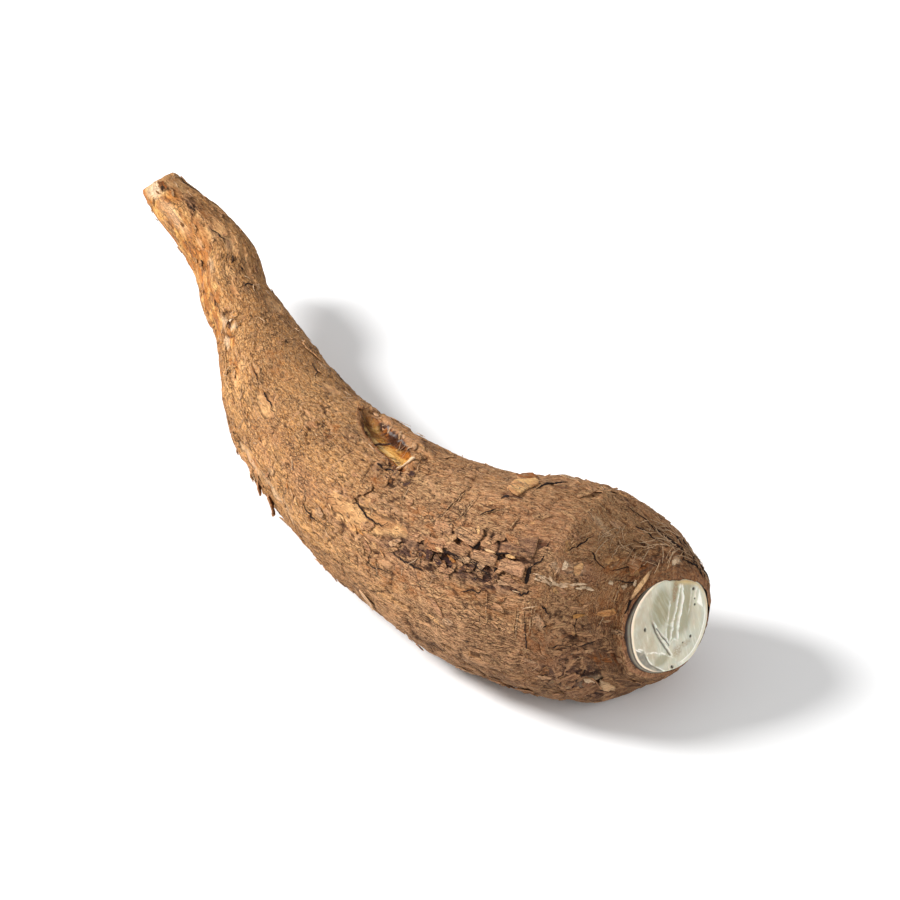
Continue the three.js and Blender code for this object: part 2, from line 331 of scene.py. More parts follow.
# Places of one tone, in the same way: distance along, angle, half length, half width, strength
tonePlaces = {
    "stain": [  # purple-black
        (322, 124, 9, 3.5, 1), (301, 142, 19, 5, 1), (286, 147, 13, 4, 0.8), (262, 108, 11, 5, 1),
        (355, 214, 9, 16, 1), (315, 146, 14, 3, 0.9), (250, 20, 20, 6, 0.6), (300, 330, 24, 7, 0.5),
        # (313, 97) and (325, 75) are the raised flap's painted shadow
        (228, 101, 7, 4, 0.45), (45, 104, 8, 1.5, 0.6), (313, 97, 4, 2.2, 1), (325, 75, 6, 1.6, 1),
        (23, 106, 6, 3, 0.7), (102, 131, 1.6, 1.4, 1), (368, 70, 3, 30, 0.7), (346, 196, 10, 6, 0.7),
        (364, 180, 5, 14, 0.5), (296, 139, 10, 3, 0.5), (281, 143, 9, 2.4, 0.5), (333, 121, 6, 2.4, 0.8),
        (225, 96, 5, 2.4, 0.5), (54, 92, 7, 2, 0.7), (81, 92, 5, 2, 0.6), (88, 79, 5, 2, 0.5),
    ],
    "rust": [
        (219, 106, 7, 4, 0.9), (261, 116, 7, 4, 1), (330, 150, 24, 12, 0.4), (366, 154, 8, 9, 0.4),
        (150, 95, 22, 8, 0.4), (300, 30, 30, 12, 0.5), (290, 124, 10, 8, 0.7), (300, 128, 12, 7, 0.7),
        (345, 175, 18, 10, 0.6), (364, 196, 6, 5, 1), (259, 116, 5, 3, 1), (366, 108, 5, 4, 0.8),
        (116, 172, 28, 5, 0.6), (98, 160, 10, 3, 0.7), (76, 158, 8, 2.5, 0.6), (30, 120, 9, 4, 0.5),
        (48, 118, 8, 3, 0.5), (14, 128, 5, 3, 0.5), (84, 122, 6, 2, 0.4), (36, 108, 16, 6, 0.6),
        (286, 166, 22, 6, 0.6), (312, 158, 16, 5, 0.5), (366, 116, 6, 4, 0.7),
    ],
    "rosy": [  # pinkish
        (318, 134, 20, 9, 1), (264, 143, 26, 8, 0.8), (345, 186, 20, 14, 0.6), (205, 150, 40, 10, 0.5),
        (270, 340, 30, 14, 0.6), (356, 126, 8, 5, 1), (335, 110, 20, 16, 0.5), (290, 150, 16, 7, 0.7),
    ],
    "bare": [  # the inner bark shows
        (148, 121, 9, 1, 0.8), (111, 140, 8, 4.5, 1.3), (104, 129, 4.5, 2.6, 1), (32, 143, 14, 6, 1),
        (13, 140, 9, 8, 1.1), (58, 140, 12, 4, 0.8), (133, 140, 8, 1.6, 1), (121, 145, 9, 1.8, 1),
        (240, 153, 7, 1, 0.9), (262, 152, 9, 0.8, 0.9), (150, 148, 9, 1.2, 0.8),
    ],
    "pale": [  # pale smooth spots
        (356, 126, 4, 2.8, 0.35), (348, 129, 7, 1.4, 0.5), (371.5, 74, 1.4, 2.4, 1), (4, 149, 5, 6, 1),
        (351, 91, 7, 1.6, 0.35), (22, 151, 15, 3.5, 0.45), (104.5, 126, 2.2, 1.6, 0.9),
        (172, 186, 17, 2.4, 0.5), (28, 146, 6, 2, 0.4), (44, 139, 5, 1.6, 0.3), (93, 148, 5, 2, 0.6),
        (108, 146, 6, 2, 0.7), (357, 211, 3, 2.0, 0.4), (205, 178, 20, 2, 0.4), (62, 128, 5, 2, 0.35),
    ],
    "shadeAndDarkBark": [  # painted shade, most of it underneath; by the thick cut it is also dark bark
        (335, 232, 60, 30, 1), (280, 240, 60, 26, 1), (345, 178, 26, 16, 0.35), (215, 245, 60, 20, 0.6),
        (367, 75, 4, 30, 0.5), (365, 52, 9, 12, 0.7), (371, 45, 3, 22, 0.9), (120, 68, 60, 8, 0.4),
        (20, 85, 26, 6, 0.8), (318, 143, 22, 5, 0.4), (370, 40, 4, 40, 0.8), (330, 190, 30, 10, 0.3),
        (340, 215, 40, 14, 0.7),
    ],
    "sandAndPaintedLight": [  # sandy streaks and painted light, on the lit left flank
        (196, 168, 46, 13, 1), (245, 172, 34, 9, 0.8), (150, 150, 46, 12, 1), (235, 130, 22, 9, 0.5),
        (275, 178, 26, 8, 0.5), (110, 140, 40, 9, 0.9), (60, 135, 40, 8, 0.8), (308, 160, 22, 6, 0.25),
    ],
    "dusty": [  # dusty, on top
        (352, 88, 26, 26, 1), (300, 72, 50, 18, 0.6), (200, 88, 60, 18, 0.5), (150, 92, 40, 10, 0.45),
        (280, 100, 24, 12, 0.4),
    ],
}

# Dark splits and torn edges, their darkness painted shade: half width, then the places and angles along each
splits = [
    (0.42, (246.6, 139), (252.2, 137), (258.7, 138), (263.4, 141), (268.7, 141), (272.5, 141),
     (274.7, 137.5)),
    (0.32, (147.9, 122), (163.5, 124.5), (169.8, 125), (175.4, 128), (181, 129.5)),
    (0.42, (336.5, 118), (336.8, 125.5), (336.8, 129.5), (332.7, 132), (330.2, 135)),
    (0.36, (349.9, 117), (353, 111), (353.6, 105), (353.9, 99)),
    (0.36, (41.2, 106.5), (45.6, 100), (50.2, 96), (53.1, 99.5)),
    (0.42, (60.9, 85.5), (63.4, 87.5), (65.9, 91.5)), (0.36, (67.7, 76.5), (71.2, 77.5)),
    (0.42, (81.5, 93), (79.9, 83.5), (83, 74.5)), (0.3, (51.8, 154.5), (58.1, 143)),
    (0.3, (82.1, 144.5), (86.8, 147.5)), (0.3, (77.7, 145), (79.9, 152.5)),
    (0.36, (2.2, 49), (7.8, 59.5), (15, 58.5), (19.4, 44.5)),
    (0.3, (23.1, 111), (26.8, 110.5), (30.3, 125.5)),
    (0.5, (243.8, 114), (250.3, 109), (256.2, 108), (262.2, 106), (266.9, 104.5)),
    (0.3, (251.2, 122.5), (257.5, 125), (260.3, 127)), (0.3, (154.2, 69), (164.5, 71), (172.6, 79.5)),
    (0.42, (295.3, 136), (300.2, 138), (304.3, 137.5), (310.2, 138.5), (314.6, 141), (316.5, 144)),
    (0.42, (304.9, 141.5), (309, 136.5), (312.7, 139.5)), (0.3, (309, 156), (313.4, 153), (315.2, 149.5)),
    (0.36, (294.3, 127), (299.3, 123), (302.4, 127.5), (309.9, 131.5)),
    (0.36, (310.5, 130.5), (310.2, 125.5), (308.4, 122)),
    (0.36, (311.8, 131), (316.5, 130), (320.5, 129.5), (321.5, 129)),
    (0.42, (316.8, 131), (317.1, 136.5), (316.5, 143.5)),
    (0.28, (334.6, 159), (336.5, 169), (336.8, 184)), (0.28, (359.9, 151), (359.2, 174)),
    (0.42, (307.4, 113.5), (309, 109), (311.8, 106)), (0.3, (356.1, 109.5), (359.9, 114.5), (362.4, 119)),
    (0.36, (364.5, 127), (367, 126.5), (369.2, 124)), (0.36, (343, 200.5), (348, 198.5)),
    (0.42, (356.4, 206), (357.4, 201), (358.6, 200)), (0.5, (356.4, 212), (355.8, 219), (359.2, 220)),
    # the split from 318.6 and the split from 310.4 are near-black painted shadow beside the raised flap
    (0.7, (318.6, 84.5), (319.6, 81.5), (321.2, 76.5), (324.6, 71), (327, 68)),
    (0.8, (310.4, 99.5), (313.4, 97)), (0.5, (371.1, 127), (371.3, 133.5), (371.6, 143), (371.5, 150)),
    (0.5, (371.1, 50), (372, 38), (372.3, 28)), (0.5, (371, 66), (371.5, 53), (370.9, 41)),
    (0.5, (361.4, 8), (361.4, 358), (361.7, 350)), (0.6, (360, 62), (366, 60), (371, 62)),
    (0.6, (358, 50), (365, 47), (372, 49)), (0.7, (361, 40), (367, 37), (371.5, 36)),
    (0.6, (363, 28), (368, 27), (372, 28)), (0.6, (362, 4), (366, 9), (370, 14)),
    (0.4, (355, 76), (361, 72), (367, 74)), (0.4, (350, 66), (357, 63), (363, 65)),
    (0.35, (363, 120), (366, 112), (368.5, 104)), (0.35, (340, 160), (349, 163), (357, 161)),
    (0.35, (352, 176), (360, 179), (366, 177)), (0.4, (280, 152), (287, 154), (296, 153)),
    (0.3, (268, 164), (276, 166), (283, 165)), (0.3, (230, 160), (238, 163), (244, 162)),
    (0.4, (322, 146), (329, 147.5), (337, 146)), (0.3, (345, 152), (353, 155)),
    (0.3, (215, 128), (222, 131), (228, 131)), (0.4, (150, 40), (160, 42), (168, 39)),
    (0.4, (262, 20), (272, 24), (283, 21)), (0.4, (318, 344), (326, 340), (336, 342)),
]


# Raised lines of pores across the root: place and angle of the first end, then of the last
poreLines = [
    (294.6, 126, 298, 94), (301.5, 121, 303, 101), (317.4, 117, 318.7, 108), (348.6, 117, 353.3, 98),
    (365.5, 117, 364.5, 86), (366, 152, 365.8, 128), (317, 168, 316, 152), (326, 174, 327, 155),
    (340, 170, 341, 150), (257, 178, 258, 192), (216, 162, 213, 176), (163, 156, 161, 172),
    (152, 140, 153, 152), (128, 60, 130, 84), (188, 30, 190, 52), (229, 350, 231, 372),
    (274, 318, 272, 338), (318, 20, 320, 44), (344, 352, 345, 370), (285, 200, 286, 216),
    (238, 216, 236, 232), (196, 250, 198, 268), (110, 300, 112, 330), (145, 230, 143, 250),
    (229, 152, 231, 160), (276, 160, 277, 171), (205, 118, 206, 126),
]


def placesField(places, along, turn, radius):
    total = 0
    for at, angle, halfLength, halfWidth, strength in places:
        length, width = fromMiddle((at, angle), along, turn, radius, 0)
        reach = np.hypot(length / halfLength, width / halfWidth)
        total = np.maximum(total, strength * (1 - smoothStep(0.3, 1.25, reach)))
    return total


# Broad tones: warmer toward the neck, painted shade underneath, painted light with sandy streaks on the left
# flank, dust on top
def broadTones(along, turn, radius):
    tones = {name: placesField(tonePlaces[name], along, turn, radius) for name in ("shadeAndDarkBark", "sandAndPaintedLight", "dusty")}
    return {"warm": smoothStep(310, 210, along), **tones}


def poreField(along, turn, radius):  # 1 on the dark groove between the two ridges of a pore line
    total = 0
    for firstAt, firstAngle, lastAt, lastAngle in poreLines:
        middle = math.radians((firstAngle + lastAngle) / 2)
        half = math.radians(abs(lastAngle - firstAngle) / 2)
        around = wrapped(turn - middle) / half
        share = np.clip(around * np.sign(lastAngle - firstAngle) / 2 + 0.5, 0, 1)
        gap = np.abs(along - firstAt - (lastAt - firstAt) * share)
        total = np.maximum(total, smoothStep(1.0, 0.3, gap) * smoothStep(1.15, 0.95, np.abs(around)))
    return total


def straightened(along, turn, radius):  # the root as if its middle line were straight, in true surface mm
    run = fromTable(runTable, along, turn)
    return vec(run, radius * np.cos(turn), radius * np.sin(turn))


def coarseRelief(along, turn, radius):
    height = plateRelief(along, turn)[0]
    small = np.clip(radius / 30, 0.45, 1)
    over = hollowRelief(along, turn, radius) + height * small
    return broadRelief(along, turn, radius) + reliefRoom(along, turn) * over


def reliefRoom(along, turn):  # less relief where the surface is pressed together
    return np.clip(fromTable(roomTable, along, turn), 0.15, 1)


def peeledField(spot, along, turn, alongW, turnW, radius):  # over 0.5 where the outer bark has come away
    patches = [1.4 - reachOf(name, alongW, turnW, radius) for name in peeledPlaces]
    field = np.maximum(np.maximum.reduce(patches), 0)
    front = 0.5 + 0.5 * np.cos(turn - math.radians(barkBody["barestAngle"]))
    grain = layeredNoise(spot * (0.05, 0.19, 0.19), 31, 5, 0.6)
    neck = smoothStep(150, 30, along) * (0.12 + 0.46 * front**2) + 0.2 * smoothStep(34, 0, along)
    neck = neck + 0.95 * grain
    scattered = 0.16 + 0.95 * layeredNoise(spot * (0.06, 0.12, 0.12), 41, 4)
    scattered = scattered - 0.25 * smoothStep(150, 260, along)
    field = np.maximum(field, placesField(tonePlaces["bare"], alongW, turnW, radius)) + 0.35 * grain
    return np.maximum(np.maximum(field, neck), scattered)


def goldenField(along, turn, radius):  # where the inner bark is golden
    side = awayFrom(turn, barkBody["goldenAngle"])
    golden = smoothStep(1.6, 0.5, side) * smoothStep(150, 100, along)
    golden = np.maximum(golden, 1.2 - reachOf("sidePeel", along, turn, radius))
    return np.maximum(golden, 0.8 * placesField(tonePlaces["bare"], along, turn, radius))


def barkSurface(along, turn, radius):
    spot = straightened(along, turn, radius)
    wander = barkBody["raggedness"] * (1 - 0.8 * smoothStep(1.9, 1.3, reachOf("wound", along, turn, radius)))
    alongW = along + wander * layeredNoise(spot / 6, 11, 4)
    turnW = turn + wander * layeredNoise(spot / 5, 21, 4) / radius
    room = reliefRoom(along, turn)
    small = np.clip(radius / 30, 0.45, 1) * room
    plateHeight, plateCrack, plateTone = plateRelief(alongW, turnW)
    peel = smoothStep(0.42, 0.52, peeledField(spot, along, turn, alongW, turnW, radius))
    golden = goldenField(along, turn, radius)
    cracked = placesField(crackedPlaces, along, turn, radius)
    cracked = cracked + 0.05 + 0.55 * layeredNoise(spot * (0.02, 0.05, 0.05), 51, 3)
    cracked = np.clip(cracked, 0, 1) * (1 - 0.8 * peel)
    pores = poreField(along, turn, radius)
    gouge = hollows["wound"]
    wound = np.clip(1.25 - reachOf("wound", along, turn, radius), 0, 1.25)
    woundAlong, woundSide = fromMiddle(gouge, along, turn, radius, gouge[4])
    maps = {
        "peel": peel, "golden": np.clip(golden, 0, 1), "wound": wound,
        "woundSide": woundSide / gouge[3], "woundAlong": woundAlong / gouge[2],
        **{name: placesField(tonePlaces[name], alongW, turnW, radius)
           for name in ("stain", "rust", "rosy", "pale")},
        **broadTones(along, turn, radius),
    }
    relief = broadRelief(along, turn, radius) + room * hollowRelief(alongW, turnW, radius)
    relief = relief + plateHeight * small * (1 - 0.6 * peel)

    # scales with cracks between them, and thin layers that end in steps
    warped = spot + 1.2 * vec(*(layeredNoise(spot / 5, 61 + k, 3) for k in (0, 4, 8)))
    nearest, second, own, inside = cells(warped * (0.15, 0.21, 0.21), 71)
    edge = second - nearest
    scales = barkBody["scaleStep"] * (own[..., 0] - 0.5) * smoothStep(0, 0.1, edge)
    tilt = 2 * barkBody["scaleTilt"] * np.sum(inside * (own - 0.5), axis=-1)
    fineCrack = 1 - smoothStep(0, 0.085, edge)
    terraces = 6 * layeredNoise(warped * (0.03, 0.08, 0.08), 81, 5, 0.55)
    level = np.floor(terraces)
    share = terraces - level
    terraceHeight = barkBody["terraceStep"] * (level + smoothStep(0.0, 0.14, share))

    # grain along the root, slits and pimples
    bent = spot * (0.12, 0.5, 0.5) + 0.9 * vec(*(layeredNoise(spot * 0.05, 111 + k, 2) for k in (0, 4, 8)))
    crest = 1 - 2.4 * np.abs(layeredNoise(bent, 91, 3))
    slitPlaces = smoothStep(0.0, 0.35, layeredNoise(spot * (0.04, 0.07, 0.07), 121, 3))
    slits = smoothStep(0.45, 0.62, layeredNoise(bent * (1.0, 1.5, 1.5) + 40, 96, 2))
    slits = slits * (0.1 + 0.7 * slitPlaces)
    pimples = layeredNoise(spot / 1.9, 101, 2)
    rough = 1 - 0.55 * peel * (1 - 0.6 * golden)
    detail = ((scales + tilt) * cracked + 0.55 * terraceHeight * (1 - 0.6 * peel)
              + barkBody["fibre"] * (crest - 0.5) * rough + barkBody["pimple"] * pimples * rough)
    detail = detail - barkBody["crackDepth"] * fineCrack * cracked
    detail = detail - bigPlates["crack"] * plateCrack * cracked
    detail = (detail - barkBody["slitDepth"] * slits * rough - 0.3 * pores) * small
    detail = detail - barkBody["peelDepth"] * peel * room
    relief = relief + detail * (1 - 0.8 * smoothStep(0.25, 0.45, wound))
    # a painted shadow at the foot of each terrace step
    footShadow = smoothStep(0.9, 1.0, share) * (1 - 0.5 * peel)
    # the crack map: painted shade in cracks, pore grooves and slits, and at the terrace feet
    crackShadePlaces = [fineCrack * cracked, plateCrack * cracked, 0.4 * pores, 0.5 * slits, 0.6 * footShadow]
    dark = np.maximum.reduce(crackShadePlaces)
    maps["crack"] = np.clip(dark, 0, 1)
    # a painted highlight on the ledge just above each step, in the tone map
    ledgeHighlight = smoothStep(0.12, 0.2, share) * smoothStep(0.5, 0.25, share)
    maps["tone"] = np.clip(0.5 + 0.7 * (own[..., 1] - 0.5) * cracked + 0.3 * plateTone + 0.35 * ledgeHighlight, 0, 1)
    return relief, maps, spot


def blurred(field, reach):  # mean over a square of the grid, closed round the root
    total = sum(np.roll(field, shift, axis=1) for shift in range(-reach, reach + 1)) / (2 * reach + 1)
    padded = np.pad(total, ((reach, reach), (0, 0)), mode="edge")
    return sum(padded[shift:shift + field.shape[0]] for shift in range(2 * reach + 1)) / (2 * reach + 1)


def evenTurns(count):  # angles round the root, closer together on the seen side
    u = evenRound(count)
    middle = math.radians(barkBody["densestAngle"])
    return u - barkBody["denser"] * np.sin(u - middle)


def ringPlaces(count):  # distances along, closer together near the thick end
    fine = np.linspace(0, barkLength, 2000)
    weight = 1 + 0.7 * smoothStep(318, 345, fine)
    run = np.concatenate([[0], np.cumsum((weight[1:] + weight[:-1]) / 2)])
    return np.interp(np.linspace(0, run[-1], count), run, fine)


def onSurface(along, turn, height):  # points over the plain body, in the part's own place
    centre, radius, arm = armOf(along, turn)
    pressed = smoothStep(0, rootShape["pressedHeight"], centre[..., 2] + radius * arm[..., 2])
    point = centre + arm * (radius + height * pressed)[..., None]
    point[..., 2] = np.maximum(point[..., 2], 0)
    return point + moved


def edgeAt(turn):
    degrees = np.degrees(np.mod(turn, fullTurn))
    return tuple(np.interp(degrees, cutEdge[:, 0], cutEdge[:, column]) for column in (1, 2))


def pastEnd(forward, turn, height):  # a ring of points a little before or past the end of the bark
    along = barkLength + np.minimum(forward, rootShape["barkSetback"])
    beyond = np.maximum(forward - rootShape["barkSetback"], 0)
    return onSurface(along, turn, height) + thickNormal * beyond[..., None]


def makeMesh(name, points, faces, maps, smooth=True):  # points in mm
    mesh = bpy.data.meshes.new(name)
    mesh.from_pydata((np.asarray(points) * millimetre).tolist(), [], [list(f) for f in faces])
    mesh.update()
    for key, values in maps.items():
        values = np.asarray(values, dtype=np.float32)
        isVector = values.ndim == 2
        layer = mesh.attributes.new(key, "FLOAT_VECTOR" if isVector else "FLOAT", "POINT")
        layer.data.foreach_set("vector" if isVector else "value", values.ravel())
    mesh.polygons.foreach_set("use_smooth", [smooth] * len(mesh.polygons))
    piece = bpy.data.objects.new(name, mesh)
    bpy.context.scene.collection.objects.link(piece)
    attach(piece, "root")
    print(name, len(mesh.vertices), "points")
    return piece


def tubeFaces(rows, sides):  # quads between rows of a grid that closes round
    here = np.arange(rows - 1)[:, None] * sides + np.arange(sides)[None, :]
    nextOne = np.arange(rows - 1)[:, None] * sides + (np.arange(sides)[None, :] + 1) % sides
    return np.stack([here, nextOne, nextOne + sides, here + sides], axis=-1).reshape(-1, 4).tolist()


def fanFaces(row, centre, sides, forwards):
    start = row * sides
    fan = [(centre, start + i, start + (i + 1) % sides) for i in range(sides)]
    return fan if forwards else [(a, c, b) for a, b, c in fan]


def closedTube(rows, sides):  # faces of a tube whose two end points follow its rows of points
    faces = tubeFaces(rows, sides) + fanFaces(0, rows * sides, sides, False)
    return faces + fanFaces(rows - 1, rows * sides + 1, sides, True)


def shifted(faces, start):  # the same faces turned over, from another first point
    return [tuple(v + start for v in face)[::-1] for face in faces]


# The bark's torn edge on the thick cut: its tones, and its rows
# by how far out, how far to the edge and how far down they are
lipTones = {"shadeAndDarkBark": 0.8, "rosy": 0.6, "tone": 0.35, "dusty": 0.0, "peel": 0.0, "pale": 0.0}
lipRows = ((0.35, 0.06, 0), (0.65, 0.25, 0), (0.88, 0.55, 0), (1.0, 0.85, 0.1), (0.97, 1.0, 0.3))
tipShares = (0.1, 0.22, 0.36, 0.5, 0.64, 0.77, 0.88, 0.96)  # rings of the thin cut, as shares of its radius


def barkLip(points, relief, turn, radius):  # the torn edge over the flesh, which stands off on one side
    place = vec(0 * turn, 9 * np.cos(turn), 9 * np.sin(turn))
    tear = layeredNoise(place / 2.5, 131, 3)
    inset, reach = edgeAt(turn)
    apart = awayFrom(turn, barkBody["gapAngle"])
    gap = barkBody["gapWide"] * smoothStep(0.9, 0.3, apart) * (0.7 + 0.6 * tear) - 0.1
    reach = reach * (1 + 0.12 * tear) + 0.25 * tear
    edge = broadRelief(barkLength + 0 * turn, turn, radius) - rootShape["barkThickness"] - inset + gap
    rough = 0.35 * layeredNoise(place / 1.1, 136, 3)
    rows = [points]
    for forward, share, drop in lipRows:
        rows.append(pastEnd(forward * reach, turn, (1 - share) * relief + share * edge + rough - drop))
    rows.append(pastEnd(-barkBody["gapDeep"] + 0 * tear, turn, edge - 0.8))
    return rows


def thinCut(rim, turn):  # a knife cut with a soft hollow pith: its rings, and how hollow they are
    centre = bodyFrame(np.array([0.0]))[0][:, None] + moved
    rings, hollow = [], []
    for share in tipShares:
        place = vec(0 * turn, share * np.cos(turn), share * np.sin(turn))
        pith = smoothStep(0.5, 0.12, np.linalg.norm(place - (0, -0.15, 0.1), axis=-1))
        rough = 0.35 * layeredNoise(place * 6, 141, 3) - 1.6 * pith + 0.3 * np.sin(9 * place[..., 1])
        ring = centre + (rim - centre) * share
        rings.append(ring + thinNormal * (rough * (1 - share**6))[..., None])
        hollow.append(-0.7 * pith + 0.5 * layeredNoise(place * 9, 151, 2) * (share < 0.9))
    return rings, np.concatenate(hollow)


def makeBark():
    sides = barkBody["sides"]
    along = ringPlaces(barkBody["rings"])
    grid = np.broadcast_to(along[:, None], (len(along), sides))
    turns = evenTurns(sides)[None, :] + 0 * grid
    radius = bodyFrame(along)[1][:, None] + 0 * grid
    relief, maps, spot = barkSurface(grid, turns, radius)
    bevelLength, bevelDepth = rootShape["tipBevel"]
    relief = relief - bevelDepth * (1 - smoothStep(0, bevelLength, grid))
    trimmed = smoothStep(0.85, 0.4, awayFrom(turns, barkBody["trimmedAngle"]))
    relief = relief - 1.3 * smoothStep(358, 371, grid) * trimmed
    points = onSurface(grid, turns, relief)
    # relief above or below its blurred mean: painted shade in hollows, a painted highlight on crests
    maps["hollowShadeAndCrestLight"] = np.clip((relief - blurred(relief, 2)) / 0.4, -1, 1)
    endTurns = turns[-1:]
    rows = barkLip(points, relief[-1:], endTurns, radius[-1:])
    tipRings, tipHollow = thinCut(points[:1], endTurns)
    grids = np.concatenate(tipRings + rows, axis=0)
    count = grids.shape[0]
    allPoints = np.vstack([grids.reshape(-1, 3), tipRings[0].mean(axis=(0, 1)), rows[-1].mean(axis=(0, 1))])

    # the maps run on over the two ends
    before, after = len(tipRings), count - len(tipRings) - len(along)
    padded = {}
    for key, values in maps.items():
        grown = np.vstack([
            np.repeat(values[:1], before, axis=0), values, np.repeat(values[-1:], after, axis=0),
        ])
        if key in lipTones:
            grown[-after:] = lipTones[key]
        if key == "hollowShadeAndCrestLight":
            grown[:before] = tipHollow
        padded[key] = np.append(grown.ravel(), [values[0].mean(), values[-1].mean()])
    cut = np.zeros((count, sides))
    cut[:before] = 1
    padded["cut"] = np.append(cut.ravel(), [1, 0])
    # painted shade: the last rows, which run down into the gap under the torn edge, are near black
    gap = np.zeros((count, sides))
    gap[-2] = 0.6
    gap[-1] = 1
    padded["gap"] = np.append(gap.ravel(), [0, 1])

    # where each point lies in the grain, which closes in over the shoulder and the ends
    narrowing = 1 - 0.66 * smoothStep(359, 367, along)[:, None]
    run = spot[..., 0] + 2.6 * np.clip(along - 361, 0, None)[:, None]
    spot = vec(run, spot[..., 1] * narrowing, spot[..., 2] * narrowing)
    lipSteps = np.diff(np.concatenate([points[-1:]] + rows[1:]), axis=0)
    lipRun = np.cumsum(np.linalg.norm(lipSteps, axis=-1), axis=0)
    lipSpot = spot[-1:] + vec(3 * lipRun, 0 * lipRun, 0 * lipRun)
    straight = np.concatenate([np.repeat(spot[:1], before, axis=0), spot, lipSpot])
    straight[:before, :, 1:] *= np.array(tipShares)[:, None, None]
    padded["straight"] = np.vstack([straight.reshape(-1, 3), (0, 0, 0), spot[-1].mean(axis=0)]) * millimetre
    return makeMesh("bark", allPoints, closedTube(count, sides), padded)


bark = makeBark()
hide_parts("cassava_root")


# The thick cut: the pale flesh that runs on past the bark, with the marks of the knife

cutFace = {"rings": 92, "sides": 260, "rimRound": 0.4, "ridgeHeight": 0.6, "step": 0.55, "scratch": 0.12}
wallDepths = (0.5, 1.1, 1.8, 2.6, 3.6, 6.0)

# Lines on the cut, in mm right and up from its middle as seen from outside
faceRidges = [  # line, strength, half width
    ([(2.4, 8.2), (1.3, 5.1), (-0.6, 0.4), (-2.5, -4.3)], 0.75, 0.32),
    ([(8.4, 12.4), (6.0, 7.5), (4.0, 3.2), (1.7, -1.3), (-1.2, -6.5)], 1.0, 0.34),
    ([(9.2, 11.6), (8.9, 7.7), (7.0, 3.7), (4.6, -0.8), (2.8, -6.6)], 1.3, 0.50),
    ([(13.5, 8.8), (11.8, 4.0), (9.9, -0.1)], 0.45, 0.28),
    ([(16.0, 7.9), (14.3, 5.0)], 0.8, 0.34),
    ([(-6.4, 4.0), (-5.2, 0.3), (-3.0, -3.2), (-1.4, -7.0)], 0.85, 0.26),
    ([(-5.4, -1.4), (-3.5, -7.0)], 0.7, 0.2),
    ([(-4.5, -3.4), (-1.5, -7.6), (-0.7, -6.7), (1.0, -6.0), (2.4, -7.6)], 0.7, 0.26),
]
knifeLine = [(-7.0, 4.9), (-6.9, 2.6), (-6.2, -0.6), (-4.9, -4.4), (-3.4, -8.0), (-1.6, -11.6)]
secondKnifeLine = [(-5.8, 1.2), (-4.0, -2.7), (-1.7, -7.5)]
lowArc = [(-16.8, -1.9), (-12.2, -5.0), (-8.5, -7.4), (-4.0, -10.8), (1.9, -15.3), (4, -16.4)]
lensArc = [(-16.4, -2.6), (-13.9, -4.2), (-12.2, -6.9), (-10.1, -10.7), (-7.2, -14.8), (-6, -16.6)]
brownStreak = [(7.0, 13.4), (5.6, 10.8), (4.5, 7.8)]
brightCorner = [(17.2, 6.8), (14.9, 2.4), (17.5, -0.9)]
faceSpecks = [(-10.8, 2.9, 0.95), (9.3, -8.9, 0.75), (14.5, 8.0, 0.85), (13.9, 1.9, 0.6),
              (-1.6, -16.4, 0.8), (14.2, 4.2, 0.4),
              (5.2, -9.6, 0.4)]


def nearLine(x, y, line):  # distance from a broken line, and on which side of it
    best = np.full(x.shape, 1e9)
    sideOf = np.zeros(x.shape)
    for (ax, ay), (bx, by) in zip(line, line[1:]):
        dx, dy = bx - ax, by - ay
        t = np.clip(((x - ax) * dx + (y - ay) * dy) / (dx * dx + dy * dy), 0, 1)
        gap = np.hypot(x - ax - t * dx, y - ay - t * dy)
        closer = gap < best
        best = np.where(closer, gap, best)
        sideOf = np.where(closer, np.sign((x - ax) * dy - (y - ay) * dx), sideOf)
    return best, sideOf


def band(gap, width):  # 1 on a line, fading with the distance from it
    return np.exp(-(gap / width)**2)


def oval(x, y, middleX, middleY, halfWidth, halfHeight):  # 1 at the edge of an oval
    return np.hypot((x - middleX) / halfWidth, (y - middleY) / halfHeight)


